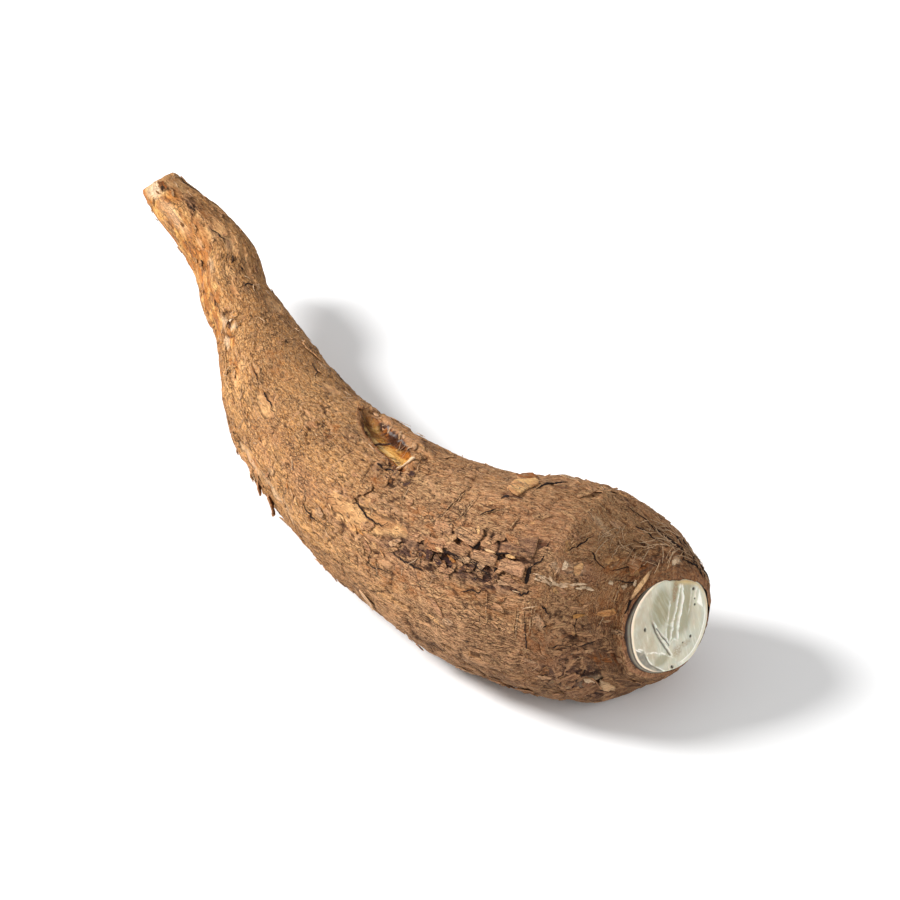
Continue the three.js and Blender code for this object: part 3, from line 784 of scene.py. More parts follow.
def faceRelief(x, y, flat, wobble, scratches):  # height of the cut, with the maps of its pale and dark lines
    height = cutFace["scratch"] * scratches + 0.25 * layeredNoise(flat / 7, 221, 2)
    white = np.zeros(x.shape)
    for line, strength, width in faceRidges:
        gap, _ = nearLine(x + wobble, y, line)
        crest = band(gap, width) * strength * (0.75 + 0.5 * layeredNoise(flat / 1.2, 231, 2))
        height = height + cutFace["ridgeHeight"] * crest
        white = np.maximum(white, crest)
    gap, sideOf = nearLine(x + 0.4 * wobble, y, knifeLine)
    height = height - cutFace["step"] * smoothStep(6, 1, gap) * (sideOf > 0) * smoothStep(0, 0.4, gap)
    below = smoothStep(5.2, 2.5, y)
    line = band(gap, 0.27) * below * np.clip(1 + 0.6 * scratches, 0, 1)
    white = np.maximum(white, 0.8 * band(gap - 0.75, 0.26) * (sideOf < 0) * below)
    secondGap, _ = nearLine(x + 0.4 * wobble, y, secondKnifeLine)
    line = np.maximum(line, 0.95 * band(secondGap, 0.25))
    waver = layeredNoise(flat / 1.6, 271, 2)
    arcGap, arcSide = nearLine(x, y + 1.6 * wobble + 0.8 * np.sin(x / 3), lowArc)
    height = height - 0.3 * smoothStep(0, 1.6, arcGap * (arcSide > 0))
    white = np.maximum(white, np.clip(0.6 + 1.3 * waver, 0, 1) * band(arcGap, 0.27))
    lensGap, lensSide = nearLine(x + 0.8 * np.sin(y / 2.2), y + wobble, lensArc)
    white = np.maximum(white, np.clip(0.6 + 1.2 * waver, 0, 1) * band(lensGap, 0.22))
    line = np.maximum(line, 0.55 * band(lensGap - 0.5, 0.25) * (lensSide > 0) * smoothStep(-4, -7, y))
    grey = smoothStep(0, 0.9, lensGap * (lensSide > 0)) * (x < 0) * np.clip(0.9 + 0.5 * waver, 0, 1)
    corner = np.full(x.shape, 1e9)
    for (ax, ay), (bx, by) in zip(brightCorner, brightCorner[1:] + brightCorner[:1]):
        inward = ((x - ax) * (by - ay) - (y - ay) * (bx - ax)) / -math.hypot(bx - ax, by - ay)
        corner = np.minimum(corner, inward)
    white = np.maximum(white, smoothStep(-0.25, 0.3, corner + 0.4 * wobble))
    return height, white, line, grey, waver


def faceTones(x, y, flat, wobble, scratches, white, waver):  # olive, beige and brown places, and dark specks
    olive = smoothStep(1.15, 0.6, np.hypot((x + 1.6 - 0.2 * (y - 8)) / 5.4, (y - 7.4) / 8))
    olive = olive * (0.9 + 0.6 * scratches)
    olive = np.maximum(olive, 0.75 * smoothStep(1.2, 0.5, oval(x, y, -5.4, -11.6, 4.4, 2.4)))
    troughs = smoothStep(10.5, 7.5, np.abs(x - 5 - 0.42 * y) + 3) * smoothStep(-8, -4, y)
    olive = np.maximum(olive, 0.8 * troughs * (1 - np.clip(1.5 * white, 0, 1)))
    beige = smoothStep(-5.5, -8.0, x - 0.12 * y) * (0.75 + 0.8 * layeredNoise(flat / 2.6, 261, 3))
    beige = np.maximum(beige, smoothStep(1.2, 0.6, oval(x, y, 11.6, 0.5, 2.2, 7)) * 0.6)
    brownGap, _ = nearLine(x + 0.8 * wobble, y, brownStreak)
    brown = smoothStep(1.4, 0.4, brownGap + 0.5 * waver)
    brown = np.maximum(brown, 0.6 * smoothStep(1.2, 0.5, oval(x, y, 1.8, -11.4, 2.6, 2.6)))
    brown = np.maximum(brown, 0.5 * smoothStep(1.2, 0.5, oval(x, y, 6.2, -10.4, 3.4, 1.3)))
    specks = np.zeros(x.shape)
    for speckX, speckY, size in faceSpecks:
        spot = smoothStep(size, size * 0.5, np.hypot(x - speckX, y - speckY) + 0.15 * wobble)
        specks = np.maximum(specks, spot)
    return {"olive": olive, "brown": brown, "beige": beige}, specks


def faceSurface(x, y):  # height and colour maps over the cut
    flat = vec(x, y, 0 * x)
    wobble = 0.45 * layeredNoise(flat / 2.2, 201, 3)
    scratches = layeredNoise(vec(x + 0.32 * y, 0.12 * y, 0 * x) * 1.4, 211, 4)
    height, white, line, grey, waver = faceRelief(x, y, flat, wobble, scratches)
    tones, specks = faceTones(x, y, flat, wobble, scratches, white, waver)
    maps = {name: np.clip(values, 0, 1) for name, values in {"white": white, **tones}.items()}
    return height - 0.35 * line - 0.3 * specks, {**maps, "line": np.maximum(line, specks), "grey": grey}


def makeCutFace():
    toRight = unit(np.cross((0, 0, 1.0), thickNormal))
    toUp = np.cross(thickNormal, toRight)
    sides = cutFace["sides"]
    a = evenRound(sides)
    end = rootLength + 0 * a
    ringOut = vec(np.cos(a), np.sin(a), 0 * a)
    wave = layeredNoise(ringOut * 3, 241, 3)
    rimWave = layeredNoise(ringOut * 2.2, 251, 2)
    centre, radius = (value[0] for value in bodyFrame(np.array([rootLength]))[:2])
    centre = centre + moved
    swelling = broadRelief(end, a, radius) - edgeAt(a)[0] - rootShape["barkThickness"]
    rim = onSurface(end, a, swelling + 0.15 * wave)
    shares = np.sqrt(np.linspace(0.0008, 1, cutFace["rings"]))[:, None]
    flat = centre + (rim - centre)[None] * shares[..., None]
    x = (flat - centre) @ toRight
    y = (flat - centre) @ toUp
    height, maps = faceSurface(x, y)
    rimX, rimY = x[-1], y[-1]
    edge = np.hypot(rimX, rimY) * (1 - shares)
    lowRight = smoothStep(0.5, 4, rimX) * smoothStep(2, -3, rimY)
    outside = smoothStep(1.9, 1.6, edge) * lowRight
    maps["white"] = np.clip(np.maximum(maps["white"], band(edge - 1.75, 0.22) * lowRight), 0, 1)
    maps["white"] = np.maximum(maps["white"], 0.4 * outside)
    height = height * smoothStep(0, 1.2, edge)
    height = height - cutFace["rimRound"] * (1 - np.sqrt(np.clip(edge / 0.6, 0, 1)))
    leftUp = np.clip(-rimX / 17 + 0.45 * rimY / 17, 0, 1)
    rimWidth = (0.62 + 0.5 * rimWave) * (0.4 + 0.9 * leftUp)
    maps["rim"] = smoothStep(rimWidth, 0.1, edge) * np.clip(0.15 + 1.6 * leftUp, 0, 1)
    goldWidth = smoothStep(1.9 + 1.0 * rimWave, 0.2, edge)
    maps["goldRim"] = goldWidth * smoothStep(0.2, 0.8, rimX / 17) * (0.6 + 0.5 * rimWave)

    # the wall, from the rim down under the bark
    tuck = 1.3 * np.clip(-edgeAt(a)[0], 0, 2)
    wall = []
    for depth in wallDepths:
        inward = 0.12 * wave - 0.03 * depth - tuck * min(1, depth / 1.5)
        wall.append(onSurface(end - depth, a, swelling + inward))
    grids = np.concatenate([flat + height[..., None] * thickNormal, np.array(wall)], axis=0)
    allPoints = np.vstack([
        grids.reshape(-1, 3), centre + thickNormal * height[0].mean(), wall[-1].mean(axis=0),
    ])
    faces = closedTube(grids.shape[0], sides)
    if np.dot(np.cross(rim[1] - rim[0], centre - rim[0]), thickNormal) > 0:
        faces = [face[::-1] for face in faces]
    bare = np.zeros((len(wall), sides))
    padded = {key: np.append(np.vstack([values + 0 * x, bare]).ravel(), [0, 0])
              for key, values in maps.items()}
    depthMap = np.vstack([0 * x] + [np.full((1, sides), min(1, depth / 2.6)) for depth in wallDepths])
    padded["depth"] = np.append(depthMap.ravel(), [0, 1])
    places = [vec(x, y, 0 * x)] + [vec(rimX, rimY, 0 * a - depth)[None] for depth in wallDepths]
    ends = [(0, 0, 0), (0, 0, -6)]
    padded["straight"] = np.vstack([np.concatenate(places, axis=0).reshape(-1, 3), *ends]) * millimetre
    piece = makeMesh("cut_face", allPoints, faces, padded)
    return piece


face = makeCutFace()


# Loose flakes and plates of bark: thin closed slabs, each from a ring of outline points

flakeMesh = {
    "rings": (0.4, 0.75, 0.95, 1.0), "sides": 22, "seed": 7,
    "hollowShadeAndCrestLight": (0, 0, 0.25, 0.8, 0.4, -0.5, -0.7, -0.8),  # over the top's rings and back along the underside: a painted highlight on the top's outer ring, painted shade underneath
}
flakeDefaults = {
    "sit": 0.15, "rise": 0.5, "curl": 0.15, "thick": 0.45, "tone": 0.5, "peel": 0.0, "golden": 0.0,
    "rosy": 0.0, "stain": 0.0, "rust": 0.0, "pale": 0.0, "gap": 0.0,
}
flakeMaps = ("tone", "peel", "golden", "rosy", "stain", "rust", "pale", "gap")
random = np.random.default_rng(flakeMesh["seed"])
uniform, normal, choice = random.uniform, random.normal, random.choice


def raggedOutline(halfLength, halfWidth, corners, roughness):  # outline radii of an irregular chip
    directions = evenRound(flakeMesh["sides"])
    cornerAt = np.sort(uniform(0, fullTurn, corners))
    cornerAt = np.sort((evenRound(corners) + 0.5 * (cornerAt - cornerAt.mean()) / corners) % fullTurn)
    reach = uniform(0.78, 1.15, corners)
    px = halfLength * reach * np.cos(cornerAt)
    py = halfWidth * reach * np.sin(cornerAt)
    return polygonRadii(px, py, directions) * uniform(1 - roughness, 1 + roughness, len(directions))


def polygonRadii(px, py, directions):  # distance from the middle to a polygon's edge in each direction
    radii = np.full(len(directions), 1e9)
    for ax, ay, bx, by in zip(px, py, np.roll(px, -1), np.roll(py, -1)):
        dx, dy = bx - ax, by - ay
        cross = np.cos(directions) * dy - np.sin(directions) * dx
        safe = np.where(np.abs(cross) < 1e-9, 1e-9, cross)
        t = (ax * dy - ay * dx) / safe
        u = (ax * np.sin(directions) - ay * np.cos(directions)) / safe
        radii = np.where((t > 0) & (u >= -1e-6) & (u <= 1 + 1e-6), np.minimum(radii, t), radii)
    return np.where(radii > 1e8, np.hypot(px, py).min(), radii)


def chip(at, angle, halfLength, halfWidth, heading=0.0, corners=6, roughness=0.07, **values):
    return {**flakeDefaults, "at": at, "angle": angle, "heading": heading,
            "outline": raggedOutline(halfLength, halfWidth, corners, roughness), **values}


def plate(corners, **values):  # a chip with corners given as places on the root
    corners = np.array(corners, float)
    at, angle = corners.mean(axis=0)
    px = (corners[:, 0] - at) * roomAt(at, angle)
    py = np.radians(corners[:, 1] - angle) * radiusAt(at)
    directions = evenRound(flakeMesh["sides"])
    if np.sum(px * np.roll(py, -1) - py * np.roll(px, -1)) < 0:
        px, py = px[::-1], py[::-1]
    outline = polygonRadii(px, py, directions) * uniform(0.96, 1.03, len(directions))
    return {**flakeDefaults, "at": at, "angle": angle, "heading": 0.0, "outline": outline, **values}


def flakePoints(flakes):
    names = ("at", "angle", "heading", "sit", "rise", "curl", "thick")
    at, angle, heading, sit, rise, curl, thick = (
        np.array([flake[name] for flake in flakes], float)[:, None, None] for name in names)
    angle, heading = np.radians(angle), np.radians(heading)
    outline = np.array([flake["outline"] for flake in flakes])[:, None, :]
    shares = np.array(flakeMesh["rings"])[None, :, None]
    phi = evenRound(flakeMesh["sides"])[None, None, :]
    u = shares * outline * np.cos(phi)
    v = shares * outline * np.sin(phi)
    reachU = np.abs(outline * np.cos(phi)).max(axis=2, keepdims=True)
    reachV = np.abs(outline * np.sin(phi)).max(axis=2, keepdims=True)
    c, s = np.cos(heading), np.sin(heading)
    radius = bodyFrame(at)[1]
    room = np.maximum(fromTable(roomTable, at, angle), 0.3)
    along = np.clip(at + (u * c - v * s) / room, 0.3, rootLength - 0.2)
    turn = angle + (u * s + v * c) / radius
    climb = np.clip((u / reachU + 1) / 2, 0, 1)
    grain = vec(along, radius * np.cos(turn), radius * np.sin(turn))
    lift = sit + rise * climb**1.6 + curl * (v / reachV)**2 + 0.12 * layeredNoise(grain / 1.7, 301, 2)
    base = coarseRelief(along, turn, bodyFrame(along)[1]) + lift
    top = onSurface(along, turn, base - 0.18 * thick * (shares > 0.99))
    under = onSurface(along, turn, base - thick * (0.8 + 0.2 * (shares < 0.95)))
    return top, under, grain


def bothSides(top, under):  # rows over the top and back along the underside, then the two middles
    count = len(top)
    middles = [side[:, 0].mean(axis=1, keepdims=True) for side in (top, under)]
    rows = [side.reshape(count, -1, *top.shape[3:]) for side in (top, under[:, ::-1])]
    return np.concatenate(rows + middles, axis=1)


def makeFlakes(name, flakes):
    top, under, grain = flakePoints(flakes)
    count, rings, sides, _ = top.shape
    block = bothSides(top, under)
    each = block.shape[1]
    faces = closedTube(2 * rings, sides)
    allFaces = [face for k in range(count) for face in shifted(faces, k * each)]
    shift = uniform(-300, 300, (count, 1, 3))
    maps = {key: np.repeat([flake[key] for flake in flakes], each) for key in flakeMaps}
    around = np.arctan2(grain[..., 2], grain[..., 1])
    for key, field in broadTones(grain[..., 0], around, np.hypot(grain[..., 1], grain[..., 2])).items():
        maps[key] = bothSides(field, field).ravel()
    maps["hollowShadeAndCrestLight"] = np.tile(np.append(np.repeat(flakeMesh["hollowShadeAndCrestLight"], sides), [0, -0.8]), count)
    maps["straight"] = (bothSides(grain, grain) + shift).reshape(-1, 3) * millimetre
    piece = makeMesh(name, block.reshape(-1, 3), allFaces, maps)
    return piece


goldenBark = {"peel": 1, "golden": 1, "tone": 1}

# Flakes that the eye finds at once: plates by the crack, the raised flap, the hanging flakes, pale chips
markedFlakes = [
    plate([(294, 124), (301, 123), (302, 129), (295, 130)], sit=0.7, rise=0.3, thick=1.0, rosy=0.6,
        rust=0.2, tone=1, pale=0.03, golden=0.2),
    plate([(302, 124), (310.5, 119.5), (311.5, 124), (310, 131), (303, 128.5)], sit=0.9, rise=0.5,
        thick=1.3, rosy=0.6, tone=1, pale=0.04, rust=0.15),
    plate([(310.3, 132), (317, 131), (316.8, 138), (310.2, 136.8)], sit=0.8, rise=0.5, thick=1.2,
        rosy=0.6, tone=1, pale=0.04, rust=0.15),
    plate([(318.3, 132), (328.3, 133.2), (327.8, 140), (318, 138)], sit=1.0, rise=0.7, thick=1.5,
        rosy=0.8, tone=1, pale=0.04),
    plate([(331.5, 137), (337, 137), (337, 142), (331.5, 143)], sit=0.5, rise=0.2, thick=0.9, rosy=0.6,
        tone=0.8),
    plate([(303, 132), (309, 133), (309, 138), (302, 137)], sit=0.5, rise=0.3, thick=0.9, rosy=0.5,
        tone=0.45),
    plate([(293, 134), (301, 134), (301, 140), (294, 141)], sit=0.5, rise=0.4, thick=0.9, rosy=0.6,
        rust=0.6, tone=0.5),
    plate([(319, 120), (330, 117), (331, 128), (320, 130)], sit=0.3, rise=0.4, thick=0.8, rosy=0.5,
        stain=0.5, tone=0.3),
    plate([(309.6, 84.5), (312, 80.5), (314.6, 76), (318.5, 77), (317.6, 82), (316.2, 87.5), (315.6, 92),
        (315.3, 96), (312.8, 95.8), (310.2, 93)], sit=2.1, rise=-1.9, curl=0.3, thick=0.8, pale=0.26,
        **goldenBark),
    plate([(308.5, 80), (307.5, 72), (310, 66), (316, 72), (312.5, 80)], sit=1.5, rise=-1.3, curl=0.2,
        thick=0.9, rosy=0.2, rust=1, golden=0.9, peel=0.3, tone=0.6),
    plate([(369.9, 102), (370.7, 110), (371.0, 118), (371.1, 127), (371.7, 137), (372.8, 137), (372.4,
        127), (372.3, 118), (371.9, 110), (371.0, 103)], sit=1.0, rise=0.2, thick=0.7, peel=1, golden=0.4,
        tone=1, pale=0.35),
    chip(3.6, 125, 3.2, 1.8, 20, 9, 0.4, sit=0.3, rise=0.1, thick=0.4, rust=1, stain=0.4),
    # the next two dark specks are painted shade in small holes
    chip(4.6, 127, 1.2, 0.8, 30, 8, 0.4, sit=0.45, rise=0.05, thick=0.4, gap=0.9),
    chip(99.8, 136.5, 2.3, 0.9, 70, 8, 0.45, sit=0.3, rise=0.1, thick=0.3, gap=0.8, rust=1),
    chip(99.5, 127, 1.3, 0.7, 20, 7, 0.35, sit=0.35, rise=0.3, thick=0.5, pale=1, peel=1),
    # the next three near-black plates are painted shade in the gaps between the plates
    plate([(329.2, 133.5), (332.6, 134.5), (332.6, 142), (329.6, 142.5)], sit=0.5, rise=0.1, thick=0.6,
        gap=1),
    plate([(309.5, 124.5), (311.5, 125), (311, 131.5), (309.6, 131.5)], sit=0.1, rise=0.1, thick=0.4,
        gap=1),
    plate([(316.6, 131.5), (318.2, 132), (318, 137.5), (316.8, 137.5)], sit=0.1, rise=0.1, thick=0.4,
        gap=1),
    plate([(192, 196), (196, 193.5), (198.5, 198), (200, 206), (198.2, 208), (194.5, 202)], sit=0.3,
        rise=2.8, curl=0.7, thick=1.1, rosy=0.8, rust=0.6, stain=0.1, tone=0.8),
    plate([(183, 194), (188, 193), (190, 198), (187, 201), (184, 198)], sit=0.3, rise=1.9, curl=0.4,
        thick=0.9, rosy=0.7, rust=0.5, tone=0.8),
    chip(178, 193, 2.6, 1.2, 20, 8, 0.25, sit=0.2, rise=1.4, curl=0.3, thick=0.5, rosy=0.7, tone=0.7),
    chip(357, 214, 4.6, 2.8, 70, 8, 0.2, sit=0.5, rise=1.8, curl=0.5, thick=0.7, rosy=0.9, tone=0.5,
        stain=0.3, peel=0.3),
    chip(353, 203, 4.2, 2.4, -20, 7, 0.2, sit=0.3, rise=1.2, curl=0.3, thick=0.6, rosy=0.6, tone=0.6),
    chip(352, 216, 7, 3, 20, 7, 0.2, sit=0.3, rise=1.4, curl=0.3, thick=0.9, rosy=0.5, tone=0.4),
    chip(360, 222, 6, 3.4, 100, 7, 0.2, sit=0.3, rise=1.3, curl=0.3, thick=0.8, tone=0.4),
    chip(364, 228, 5, 3.0, 60, 7, 0.2, sit=0.3, rise=1.6, curl=0.3, thick=0.7, stain=0.6),
    plate([(261.5, 104), (261.2, 97.5), (263, 93), (266, 91.5), (265.2, 95.5), (263.4, 100)], sit=0.6,
        rise=0.4, thick=0.9, peel=1, pale=1),
    chip(366.0, 155.5, 5.4, 1.3, -8, 9, 0.24, sit=1.2, rise=0.5, curl=0.2, thick=1.3, pale=0.18,
        **goldenBark),
    chip(360.5, 157.5, 2.4, 0.8, -8, 7, 0.24, sit=1.0, rise=0.4, curl=0.2, thick=1.1, peel=1, golden=1),
    chip(309.6, 121.8, 2.2, 0.6, 60, 7, 0.24, sit=1.2, rise=0.4, thick=0.9, pale=0.3, **goldenBark),
    chip(300.2, 138.5, 3.6, 0.7, 6, 7, 0.24, sit=0.8, rise=0.4, thick=0.8, pale=0.4, **goldenBark),
    chip(305.0, 141.0, 2.6, 0.6, 20, 7, 0.24, sit=0.7, rise=0.4, thick=0.8, **goldenBark),
    chip(314.5, 130.5, 3.4, 0.55, 6, 7, 0.24, sit=1.1, rise=0.4, thick=0.9, peel=1, golden=0.8, tone=1,
        pale=0.5),
    chip(320.5, 130.6, 2.6, 0.6, 4, 7, 0.24, sit=0.9, rise=0.4, thick=0.8, peel=1, golden=0.8, tone=1,
        pale=0.2),
    chip(342.7, 198.5, 3.4, 1.0, 4, 7, 0.24, sit=0.5, rise=0.7, thick=0.6, rust=0.6, rosy=0.5, tone=1,
        pale=0.25),
    chip(366.5, 109, 4.6, 2.2, 75, 8, 0.15, sit=0.45, rise=0.8, curl=0.3, thick=0.7, rust=0.7, rosy=0.6,
        tone=0.8),
    chip(353.6, 124.6, 2.0, 1.3, 60, 7, 0.22, sit=0.9, rise=0.3, thick=0.9, pale=1, rosy=0.4, tone=1),
    chip(356.8, 125.2, 2.6, 1.5, 80, 7, 0.2, sit=0.7, rise=0.4, thick=0.9, peel=0.6, golden=0.5, rosy=0.6,
        tone=1, pale=0.2),
    chip(372, 76, 1.5, 1.0, 10, 6, 0.2, sit=0.4, rise=0.5, thick=0.6, pale=1, peel=0.5),
    chip(364.6, 130.5, 1.3, 0.7, 20, 7, 0.3, sit=0.4, rise=0.4, thick=0.4, pale=0.9),
    chip(367.5, 131.5, 1.2, 0.8, 60, 7, 0.3, sit=0.4, rise=0.4, thick=0.4, rust=0.6, pale=0.7),
    chip(369.6, 123, 1.4, 0.6, 60, 7, 0.3, sit=0.4, rise=0.4, thick=0.4, rosy=0.6, pale=0.8),
    chip(357, 211, 1.0, 3.2, -10, 8, 0.25, sit=0.8, rise=0.7, curl=0.4, thick=0.5, pale=0.75, tone=1),
    chip(359.2, 221, 3.6, 2.2, 100, 8, 0.25, sit=0.8, rise=1.3, curl=0.5, thick=0.6, pale=0.4, peel=0.6,
        golden=0.3, tone=1),
    chip(364, 196, 2.2, 1.1, 15, 8, 0.3, sit=0.3, rise=0.6, thick=0.5, rust=1, tone=1),
    chip(369, 199, 2.4, 1.2, -10, 8, 0.3, sit=0.3, rise=0.6, thick=0.5, rust=0.7, tone=1, pale=0.2),
    chip(268, 198, 6, 3, 10, 7, 0.16, sit=0.2, rise=1.4, curl=0.3, thick=0.5, pale=0.3, tone=0.8),
    chip(257, 127, 6.5, 3, -8, 7, 0.16, sit=0.3, rise=1.0, curl=0.3, thick=0.6, tone=0.6),
    chip(262, 117, 5, 3, 20, 7, 0.18, sit=0.3, rise=1.0, curl=0.3, thick=0.6, rust=1, tone=0.6),
    chip(140, 55, 8.5, 4, 170, 6, 0.12, sit=0.2, rise=1.4, curl=0.3, thick=0.7, tone=0.6),
    chip(242, 12, 9.5, 5.5, 35, 7, 0.12, sit=0.2, rise=1.9, curl=0.4, thick=0.7, rosy=0.5, tone=0.6),
    chip(300, 345, 9.5, 5.5, 15, 7, 0.12, sit=0.2, rise=1.5, curl=0.4, thick=0.7, rosy=0.5, tone=0.5),
]

# Torn edges and crumbs: how many, and the lines that they follow
torn = {
    "paleEdge": 22, "gougeRim": 24, "gougeFoot": 40, "crumbs": 26,
    "footShares": (0, 0.3, 0.55, 0.8, 1), "footAngles": (68, 80, 91, 98, 103),
    # below the gouge and under the plates: place and angle, each with its spread
    "crumbPlaces": ((262, 5, 108, 3), (306, 9, 143, 2.5)),
    # place and angle of both ends, and how many
    "goldenLines": [
        (244, 148, 279, 155, 9), (150, 150, 186, 153, 8), (108, 150, 140, 158, 7), (214, 160, 240, 166, 5),
    ],
}


def paleEdge():  # frayed and pale, below the plates
    for k in range(torn["paleEdge"]):
        share = k / (torn["paleEdge"] - 1)
        at = 335 + 27 * share + uniform(-0.8, 0.8)
        angle = 137.5 + 1.3 * math.sin(6 * share) + uniform(-1.3, 1.3)
        yield chip(at, angle, uniform(1.2, 2.8), uniform(0.3, 0.6), uniform(-35, 20), 8, 0.25, sit=0.35,
                   rise=uniform(0.2, 0.7), thick=0.4, pale=uniform(0.45, 1.0), rosy=0.9, tone=1, peel=0.3)


def gougeRim():  # torn, above the gouge
    for _ in range(torn["gougeRim"]):
        share = uniform()
        yield chip(207 + 55 * share, 59.5 + 26 * share + normal(0, 0.5), uniform(1.2, 3.0),
                   uniform(0.35, 0.7), normal(15, 8), 7, 0.22, sit=0.3, rise=uniform(0.2, 0.6), curl=0.3,
                   thick=0.4, rosy=uniform(0.2, 0.9), tone=uniform(0.4, 1), pale=uniform(0, 0.5))


def gougeFoot():  # frayed rust-brown bark along the gouge's near edge
    for _ in range(torn["gougeFoot"]):
        share = uniform()
        angle = np.interp(share, torn["footShares"], torn["footAngles"]) + normal(0.6, 0.9)
        yield chip(204 + 56 * share, angle, uniform(1.0, 3.0), uniform(0.35, 0.8), normal(22, 14), 7, 0.25,
                   sit=uniform(0.1, 0.5), rise=uniform(0.2, 0.8), curl=0.2, thick=0.6,
                   rust=choice([0.3, 0.8]), rosy=0.3, stain=choice([0, 0.2, 0.8]), tone=uniform(0.3, 1))


def goldenFibres():  # torn golden fibres, in short lines
    for firstAt, firstAngle, lastAt, lastAngle, count in torn["goldenLines"]:
        for k in range(count):
            share = (k + 0.5) / count
            at = firstAt + (lastAt - firstAt) * share
            angle = firstAngle + (lastAngle - firstAngle) * share + normal(0, 0.4)
            yield chip(at, angle, uniform(1.6, 3.4), uniform(0.25, 0.5), normal(8, 7), 6, 0.2, sit=0.3,
                       rise=uniform(0.2, 0.5), thick=0.4, pale=uniform(0, 0.5), **goldenBark)


def crumbs():  # dark bark, in equal numbers at each of its places
    for k in range(torn["crumbs"]):
        middleAt, spreadAt, middleAngle, spreadAngle = torn["crumbPlaces"][2 * k // torn["crumbs"]]
        at, angle = normal(middleAt, spreadAt), normal(middleAngle, spreadAngle)
        yield chip(at, angle, uniform(1.2, 3.2), uniform(0.8, 1.8), uniform(-60, 60), 5, 0.16, sit=0.1,
                   rise=uniform(0.4, 1.1), thick=0.6, stain=choice([0.2, 0.9]), rust=choice([0, 0.8]),
                   tone=uniform(0.2, 0.8))


for makeTorn in (paleEdge, gougeRim, gougeFoot, goldenFibres, crumbs):
    markedFlakes.extend(makeTorn())

# The many small ones, thicker where the bark is cracked and near the cut
scatteredFlakes = {"count": 540, "length": (1.3, 4.8), "slim": (0.2, 0.5)}
flakyPlaces = crackedPlaces + [
    (358, 150, 16, 26, 0.8), (362, 60, 12, 30, 0.8), (335, 212, 44, 30, 0.8), (352, 172, 20, 26, 0.9),
    (345, 60, 24, 20, 0.5), (180, 190, 26, 10, 0.7), (60, 120, 40, 14, 0.3), (20, 90, 16, 12, 0.4),
    (255, 128, 22, 6, 0.6), (290, 160, 40, 12, 0.35),
]


def scatterFlakes():
    flakes = []
    while len(flakes) < scatteredFlakes["count"]:
        at, angle = uniform(4, barkLength - 1), uniform(0, 360)
        radius = bodyFrame(np.array([at]))[1]
        place, turn = np.array([at]), np.radians([angle])
        low = onSurface(place, turn, np.zeros(1))[0, 2] < 4
        wanted = 0.16 + placesField(flakyPlaces, place, turn, radius)[0]
        inWound = reachOf("wound", place, turn, radius)[0] < 1.3
        if low or inWound or uniform() > wanted * (0.35 + 0.65 * radius[0] / 39):
            continue
        length = uniform(*scatteredFlakes["length"]) * (0.5 + 0.5 * radius[0] / 39)
        width = length * uniform(*scatteredFlakes["slim"])
        heading = normal(0, 22) + choice([0, 180])
        flakes.append(chip(at, angle, length, width, heading, int(random.integers(6, 11)), 0.2,
                           sit=uniform(0.0, 0.3), rise=uniform(0.15, 0.9), curl=uniform(0, 0.3),
                           thick=uniform(0.3, 0.55), tone=uniform(0.3, 0.8), rosy=choice([0, 0, 0.3, 0.6]),
                           rust=choice([0, 0, 0, 0.4]), pale=choice([0] * 6 + [0.15])))
    return flakes


smallFlakes = scatterFlakes()
flakes = makeFlakes("flakes", markedFlakes)
moreFlakes = makeFlakes("small_flakes", smallFlakes)


# Thin strips: the ridges of the pore lines, and loose fibres

def makeStrips(name, paths):  # each path: points along, turn, lift, half width, and its colour values
    points, faces, places = [], [], []
    values = {key: [] for key in flakeMaps}
    sides = 6
    phi = evenRound(sides)
    for path in paths:
        along, turn, lift, half = (np.asarray(path[key], float) for key in ("along", "turn", "lift", "half"))
        radius = bodyFrame(along)[1]
        base = coarseRelief(along, turn, radius)
        middle = onSurface(along, turn, base + lift)
        outward = middle - onSurface(along, turn, base - 5)
        onFlat = np.linalg.norm(outward, axis=-1, keepdims=True) < 1e-9
        outward = unit(np.where(onFlat, (0, 0, -1.0), outward))  # straight down on the pressed flat
        across = unit(np.cross(unit(np.gradient(middle, axis=0)), outward))
        tall = outward[:, None] * (path["tall"] * np.sin(phi))[None, :, None]
        tube = middle[:, None] + half[:, None, None] * (across[:, None] * np.cos(phi)[None, :, None] + tall)
        tube[..., 2] = np.maximum(tube[..., 2], 0.02)
        faces += shifted(closedTube(len(along), sides), len(points))
        points.extend([*tube.reshape(-1, 3), middle[0], middle[-1]])
        spot = vec(along, radius * np.cos(turn), radius * np.sin(turn)) + uniform(-200, 200)
        places.extend([*np.repeat(spot, sides, axis=0), spot[0], spot[-1]])
        for key in flakeMaps:
            values[key].extend([path["values"].get(key, 0.0)] * (len(along) * sides + 2))
    maps = {key: np.array(v) for key, v in values.items()}
    maps["straight"] = np.array(places) * millimetre
    piece = makeMesh(name, np.array(points), faces, maps)
    return piece


poreRidge = {"apart": 0.5, "half": 0.22, "tall": 1.0, "pointStep": 0.55, "single": 0.3}


